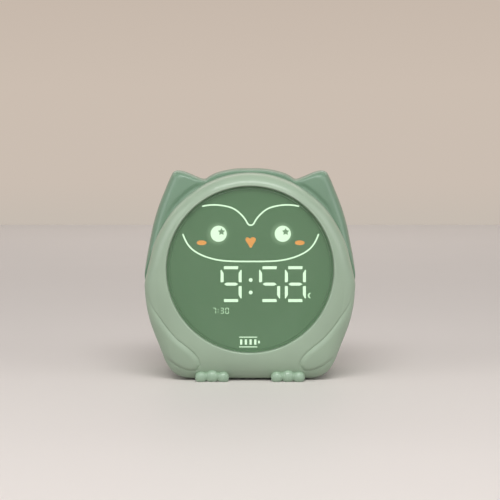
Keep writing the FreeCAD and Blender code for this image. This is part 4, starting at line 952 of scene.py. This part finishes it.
def rear_cutters():
    """One cutter for every opening of the rear shell."""
    cutters = [round_cutter(x, BUTTON_Z, BUTTON_R + RUNNING_GAP, BUTTON_FLARE, BUTTON_HOLE_SIDES)
                for x in BUTTON_XS]
    cutters += [round_cutter(x, z, GRILLE_HOLE_R, GRILLE_FLARE, GRILLE_SIDES) for x, z in grille_places()]
    screw_hole = [(HEAD_HOLE_R, SEAT_DEPTH), (HEAD_HOLE_R, SHELL_BACK + CUT_PAST)]
    cutters += [lathe("hole", screw_hole, x, z, SCREW_SIDES) for x, z in column_places()]
    half_w = USB_IN_W / 2 + USB_SHELL_T + RUNNING_GAP
    half_h = USB_IN_H / 2 + USB_SHELL_T + RUNNING_GAP
    cutters.append(slot_cutter(USB_X, CONTROL_Z, half_w, half_h, half_h - ROUND_END_SPARE, USB_FLARE))
    half_w = (KNOB_W + KNOB_TRAVEL) / 2 + RUNNING_GAP
    half_h = KNOB_H / 2 + RUNNING_GAP
    cutters.append(slot_cutter(SWITCH_X, CONTROL_Z, half_w, half_h, SLOT_CORNER, SLOT_FLARE))
    opening = rounded_loop(KEY_HALF_W + KEY_GAP, KEY_HALF_D + KEY_GAP, KEY_CORNER + KEY_GAP,
                           KEY_CORNER_STEPS)
    cutters.append(loop_prism("hole", [key_loop(opening, z) for z in KEY_CUT_ZS]))
    return joined("cutters", cutters)


def make_rear():
    """The rear shell with its screw sleeves and all its openings."""
    turn = angles_in(REAR_STRETCHES)
    count = len(turn)
    outer = rear_front_loops(turn) + rear_skin_loops(turn)
    loops = outer + rear_inner_loops(turn)
    faces = band_faces(len(loops), count, closed=True, gap=len(outer) - 1)
    for first in (len(outer) - 1, len(outer)):
        faces.append(tuple(range(first * count, (first + 1) * count)))
    shell = solid("rear_shell_body", np.vstack(loops), faces)
    sleeve = [(SLEEVE_R, SLEEVE_START), (SLEEVE_R, SLEEVE_END)]
    sleeves = [lathe("sleeve", sleeve, x, z, SCREW_SIDES) for x, z in column_places()]
    boolean(shell, joined("sleeves", sleeves), "UNION")
    boolean(shell, rear_cutters(), "DIFFERENCE")
    dress(shell, "rear_case", "rear_shell", sharp=32)


# Snooze key

def make_key():
    """The key follows the dome, with a shallow dish and round edges."""
    base = rounded_loop(KEY_HALF_W, KEY_HALF_D, KEY_CORNER, KEY_CORNER_STEPS)
    loops = [key_loop(base, z) for z in KEY_BASE_ZS]
    for inset in KEY_INSETS:
        near = min(1.0, inset / KEY_ROUND)
        fall = KEY_ROUND * (1 - math.sqrt(1 - (1 - near) ** 2)) + KEY_SINK
        corner = max(KEY_LEAST_CORNER, KEY_CORNER - inset)
        loop = []
        for a, b in rounded_loop(KEY_HALF_W - inset, KEY_HALF_D - inset, corner, KEY_CORNER_STEPS):
            across = max(0.0, 1 - (a / (KEY_HALF_W - KEY_DISH_MARGIN_X)) ** 2)
            along = max(0.0, 1 - (b / (KEY_HALF_D - KEY_DISH_MARGIN_Y)) ** 2)
            top = rear_top(a, KEY_MIDDLE + b) - fall - KEY_DISH * across * along
            loop.append((a, FRONT_Y + KEY_MIDDLE + b, top))
        loops.append(loop)
    dress(loop_prism("snooze_key_cap", loops), "snooze", "snooze_button", sharp=40, body="snooze_key")


# Rear buttons and switch knob

def bar(x, z, half_w, half_h, turn=0.0):
    """A rectangle's outline, turned about the middle that its place is measured from."""
    c, s = math.cos(turn), math.sin(turn)
    corners = ((x - half_w, z - half_h), (x + half_w, z - half_h), (x + half_w, z + half_h),
               (x - half_w, z + half_h))
    return [(c * a - s * b, s * a + c * b) for a, b in corners]


def arc(x, z, radius, first, last, steps):
    turns = [math.radians(first + (last - first) * i / steps) for i in range(steps + 1)]
    return [(x + radius * math.cos(a), z + radius * math.sin(a)) for a in turns]


def disc(x, z, radius):
    return arc(x, z, radius, 0, 360 - 360 / DISC_SIDES, DISC_SIDES - 1)


def plus_outline(reach, half):
    return [(reach, -half), (reach, half), (half, half), (half, reach), (-half, reach), (-half, half),
            (-reach, half), (-reach, -half), (-half, -half), (-half, -reach), (half, -reach), (half, -half)]


def bell_outline():
    return [(-1.65, -0.95), (1.65, -0.95), (1.2, -0.45)] + arc(0, 0.45, 1.05, 0, 180, 16) + [(-1.2, -0.45)]


SYMBOLS = {
    "mode": [bar(0, z, 1.5, SYMBOL_STROKE) for z in (-1.05, 0.0, 1.05)],
    "down": [bar(0, 0, 1.7, SYMBOL_STROKE)],
    "up": [plus_outline(1.7, SYMBOL_STROKE)],
    "alarm": [bell_outline(), disc(0, -1.5, 0.36)],
    "light": [disc(0, 0, 0.85)] + [bar(1.6, 0, 0.4, RAY_HALF_W, math.pi / 4 * i) for i in range(8)],
}
BUTTON_XS = [(i - (len(SYMBOLS) - 1) / 2) * BUTTON_PITCH for i in range(len(SYMBOLS))]


def make_button(name, x):
    """A round cap with a soft rim, a shallow dish and a raised symbol, on the flange that keeps it in."""
    profile = [(FLANGE_R, FLANGE_FRONT), (FLANGE_R, FLANGE_BACK), (BUTTON_R, FLANGE_BACK)]
    profile += [(BUTTON_R - BUTTON_ROUND * (1 - math.cos(a)), DEPTH - BUTTON_ROUND * (1 - math.sin(a)))
                for a in quarter_turn(BUTTON_STEPS)]
    dish_r = BUTTON_R - BUTTON_ROUND - BUTTON_DISH_MARGIN
    for a in quarter_turn(BUTTON_STEPS):
        share = a / (math.pi / 2)
        profile.append((dish_r * (1 - DISH_CLOSURE * share), DEPTH - BUTTON_DISH * math.sin(a)))
    cap = lathe(name + "_cap", profile, x, BUTTON_Z, BUTTON_SIDES)
    parts = [prism("symbol", x, BUTTON_Z, outline, DEPTH - SYMBOL_ROOT, DEPTH - SYMBOL_SINK)
             for outline in SYMBOLS[name]]
    boolean(cap, joined("symbol", parts), "UNION")
    dress(cap, "button", name + "_button", sharp=40, body=name + "_key")


def make_knob():
    """The switch's knob, with rounded edges and grooves across it for a finger."""
    outlines = [(rounded_loop(KNOB_W / 2, KNOB_H / 2, KNOB_CORNER), KNOB_FRONT)]
    for a in quarter_turn(KNOB_STEPS):
        inset = KNOB_ROUND * (1 - math.cos(a))
        outlines.append((rounded_loop(KNOB_W / 2 - inset, KNOB_H / 2 - inset, KNOB_CORNER),
                         KNOB_BACK - KNOB_ROUND * (1 - math.sin(a))))
    knob = backward_solid("switch_knob", KNOB_X, CONTROL_Z, outlines)
    square = rounded_loop(KNOB_STEM / 2, KNOB_STEM / 2, STEM_CORNER, steps=2)
    stem = prism("stem", KNOB_X, CONTROL_Z, square, KNOB_STEM_FRONT, KNOB_FRONT + STEM_BITE)
    boolean(knob, stem, "UNION")
    groove = bar(0, 0, GROOVE_HALF_W, KNOB_H)
    grooves = [prism("groove", KNOB_X + x, CONTROL_Z, groove, KNOB_BACK - GROOVE_SUNK, KNOB_BACK + CUT_PAST)
               for x in GROOVE_XS]
    boolean(knob, joined("grooves", grooves), "DIFFERENCE")
    dress(knob, "button", "power_slider", sharp=40, body="power_knob")


make_rear()
make_key()
for button_name, button_x in zip(SYMBOLS, BUTTON_XS):
    make_button(button_name, button_x)
make_knob()


# Lens

def make_lens():
    """The window: a disc with rounded edges."""
    outer = LENS_OPENING_R - LENS_GAP
    back = FILM_FRONT - LENS_AIR
    profile = [(outer * LENS_CORE_SHARE, back), (outer - LENS_BACK_EDGE, back),
               (outer, back - LENS_BACK_EDGE)]
    profile += [(outer - LENS_EDGE * (1 - math.cos(a)), LENS_SINK + LENS_EDGE * (1 - math.sin(a)))
                for a in quarter_turn(LENS_STEPS)]
    profile += [(outer * LENS_WIDE_SHARE, LENS_SINK), (outer * LENS_CORE_SHARE, LENS_SINK)]
    dress(lathe("lens_window", profile, 0, LENS_Z, LENS_SIDES), "lens", "display_lens", sharp=50)


make_lens()


# Feet

def egg(bm, x, depth, z, size, power=2.0):
    """A ball stretched to the half sizes, squarer in front view with a higher power."""
    made = bmesh.ops.create_icosphere(bm, subdivisions=4, radius=1.0)
    for v in made["verts"]:
        across = math.hypot(v.co.x, v.co.z)
        full = (abs(v.co.x) ** power + abs(v.co.z) ** power) ** (1 / power)
        grow = across / full if full > 0 else 1.0
        v.co = Vector((x + size[0] * v.co.x * grow, FRONT_Y + depth + size[1] * v.co.y,
                       z + size[2] * v.co.z * grow)) * MM


def make_foot(side, name, node):
    """Three toes that run together into one low foot, flat where it stands."""
    bm = bmesh.new()
    xs = [-side * x for x in TOE_XS]
    for x, size, z in zip(xs, (SIDE_TOE, MIDDLE_TOE, SIDE_TOE), (SIDE_TOE_Z, MIDDLE_TOE_Z, SIDE_TOE_Z)):
        tail = (size[0] * TAIL_SHARES[0], TAIL_HALF_L, size[2] * TAIL_SHARES[1])
        egg(bm, x, size[1] + TOE_SET_BACK, z, size, TOE_POWER)
        egg(bm, x, size[1] + TAIL_SET_BACK, z - TAIL_DROP, tail, TOE_POWER)
    for a, b in zip(xs, xs[1:]):
        for depth, z, size in WEBS:
            egg(bm, (a + b) / 2, depth, z, size, TOE_POWER)
    egg(bm, sum(xs) / 3, SOLE_DEPTH, SOLE_Z, SOLE)
    mesh = bpy.data.meshes.new(name)
    bm.to_mesh(mesh)
    bm.free()
    obj = new_object(name, mesh)
    remesh = obj.modifiers.new("remesh", "REMESH")
    remesh.mode = "VOXEL"
    remesh.voxel_size = FOOT_VOXEL * MM
    smooth = obj.modifiers.new("smooth", "SMOOTH")
    smooth.factor = FOOT_SMOOTH_SHARE
    smooth.iterations = FOOT_SMOOTH_ROUNDS
    bake(obj)
    for v in obj.data.vertices:
        v.co.z = max(v.co.z, 0.0)
    obj.data.update()
    dress(obj, "foot_rubber", node, sharp=60)


make_foot(-1, "left_toes", "left_foot")
make_foot(1, "right_toes", "right_foot")


# Stage, light and camera

def seen_rays(p):
    """1 for rays that show a surface to the camera, also in a gloss or through the window, and else 0."""
    path = p.tree.nodes.new("ShaderNodeLightPath")
    seen = path.outputs["Is Camera Ray"]
    for kind in ("Is Glossy Ray", "Is Transmission Ray"):
        either = p.tree.nodes.new("ShaderNodeMath")
        either.operation = "MAXIMUM"
        p.link(seen, either.inputs[0])
        p.link(path.outputs[kind], either.inputs[1])
        seen = either.outputs[0]
    return seen


def table_material():
    """A pale satin table with a faint cloudiness, which throws less light up than it shows."""
    p = Paint("table_top", roughness=0.5, specular=0.15)
    cloud = p.noise(scale=6.0, detail=3.0)
    shown = p.mix(p.spread(cloud), shade(TABLE_COLOUR, 0.985), TABLE_COLOUR)
    p.colour(p.mix(seen_rays(p), shade(TABLE_COLOUR, TABLE_BOUNCE), shown))
    p.bump(p.noise(scale=900.0), distance=0.00001, strength=0.2)
    return p.material


def wall_material():
    """A wall that is seen at its written colours, with painted shade that darkens them towards the top, while
    it lights the object only as plain paint.
    """
    p = Paint("wall_paint", roughness=0.8, specular=0.2)
    height = p.tree.nodes.new("ShaderNodeSeparateXYZ")
    p.link(p.coords, height.inputs[0])
    # The ramp by height holds the painted shade
    ramp = p.tree.nodes.new("ShaderNodeValToRGB")
    p.link(p.spread(height.outputs["Z"], low=0.0, high=WALL_BAND), ramp.inputs[0])
    stops = ramp.color_ramp.elements
    while len(stops) < len(WALL_SHADED_COLOURS):
        stops.new(1.0)
    for stop, (place, colour) in zip(stops, WALL_SHADED_COLOURS):
        stop.position = place
        stop.color = colour
    p.colour(ramp.outputs[0])
    glow = p.tree.nodes.new("ShaderNodeEmission")
    p.link(ramp.outputs[0], glow.inputs["Color"])
    mixed = p.tree.nodes.new("ShaderNodeMixShader")
    for i, source in enumerate((seen_rays(p), p.shader.outputs[0], glow.outputs[0])):
        p.link(source, mixed.inputs[i])
    p.link(mixed.outputs[0], p.tree.nodes["Material Output"].inputs["Surface"])
    return p.material


def plane(name, half_w, near, far, material):
    """A plane of the stage, from a near to a far edge that are given in Y and Z."""
    mesh = bpy.data.meshes.new(name)
    mesh.from_pydata([(-half_w, *near), (half_w, *near), (half_w, *far), (-half_w, *far)], [], [(0, 1, 2, 3)])
    mesh.materials.append(material)
    new_object(name, mesh)


def softbox(name, place, target, size, power):
    """A rectangular lamp at a place, aimed at a target."""
    lamp = bpy.data.lights.new(name, "AREA")
    lamp.shape = "RECTANGLE"
    lamp.size, lamp.size_y = size
    lamp.energy = power
    obj = new_object(name, lamp)
    obj.location = place
    aim = Vector(target) - Vector(place)
    obj.rotation_euler = aim.to_track_quat("-Z", "Y").to_euler()


def make_stage():
    plane("floor", TABLE_HALF_W, (TABLE_FRONT, 0), (WALL_Y, 0), table_material())
    plane("wall", WALL_HALF_W, (WALL_Y, WALL_FOOT), (WALL_Y, WALL_TOP), wall_material())
    for name, values in LAMPS.items():
        softbox(name, *values)
    world = bpy.data.worlds.new("studio")
    world.use_nodes = True
    world.node_tree.nodes["Background"].inputs["Color"].default_value = SKY_COLOUR
    world.node_tree.nodes["Background"].inputs["Strength"].default_value = SKY_STRENGTH
    bpy.context.scene.world = world
    bpy.context.scene.view_settings.view_transform = "Standard"


def make_camera():
    """The photo's camera, which sees the lens centre at its own row of the picture."""
    camera = bpy.data.cameras.new("camera")
    camera.sensor_width = SENSOR_W
    camera.lens = SENSOR_W * FOCAL_PX / PHOTO_PX
    obj = new_object("camera", camera)
    lens_centre = Vector((0.0, FRONT_Y + LENS_SINK, LENS_Z)) * MM
    up = math.radians(ELEVATION)
    obj.location = lens_centre + Vector((0, -math.cos(up), math.sin(up))) * DISTANCE
    pitch = up - math.atan((LENS_ROW - PHOTO_PX / 2) / FOCAL_PX)
    obj.rotation_euler = (math.pi / 2 - pitch, 0, 0)
    bpy.context.scene.camera = obj


make_stage()
make_camera()
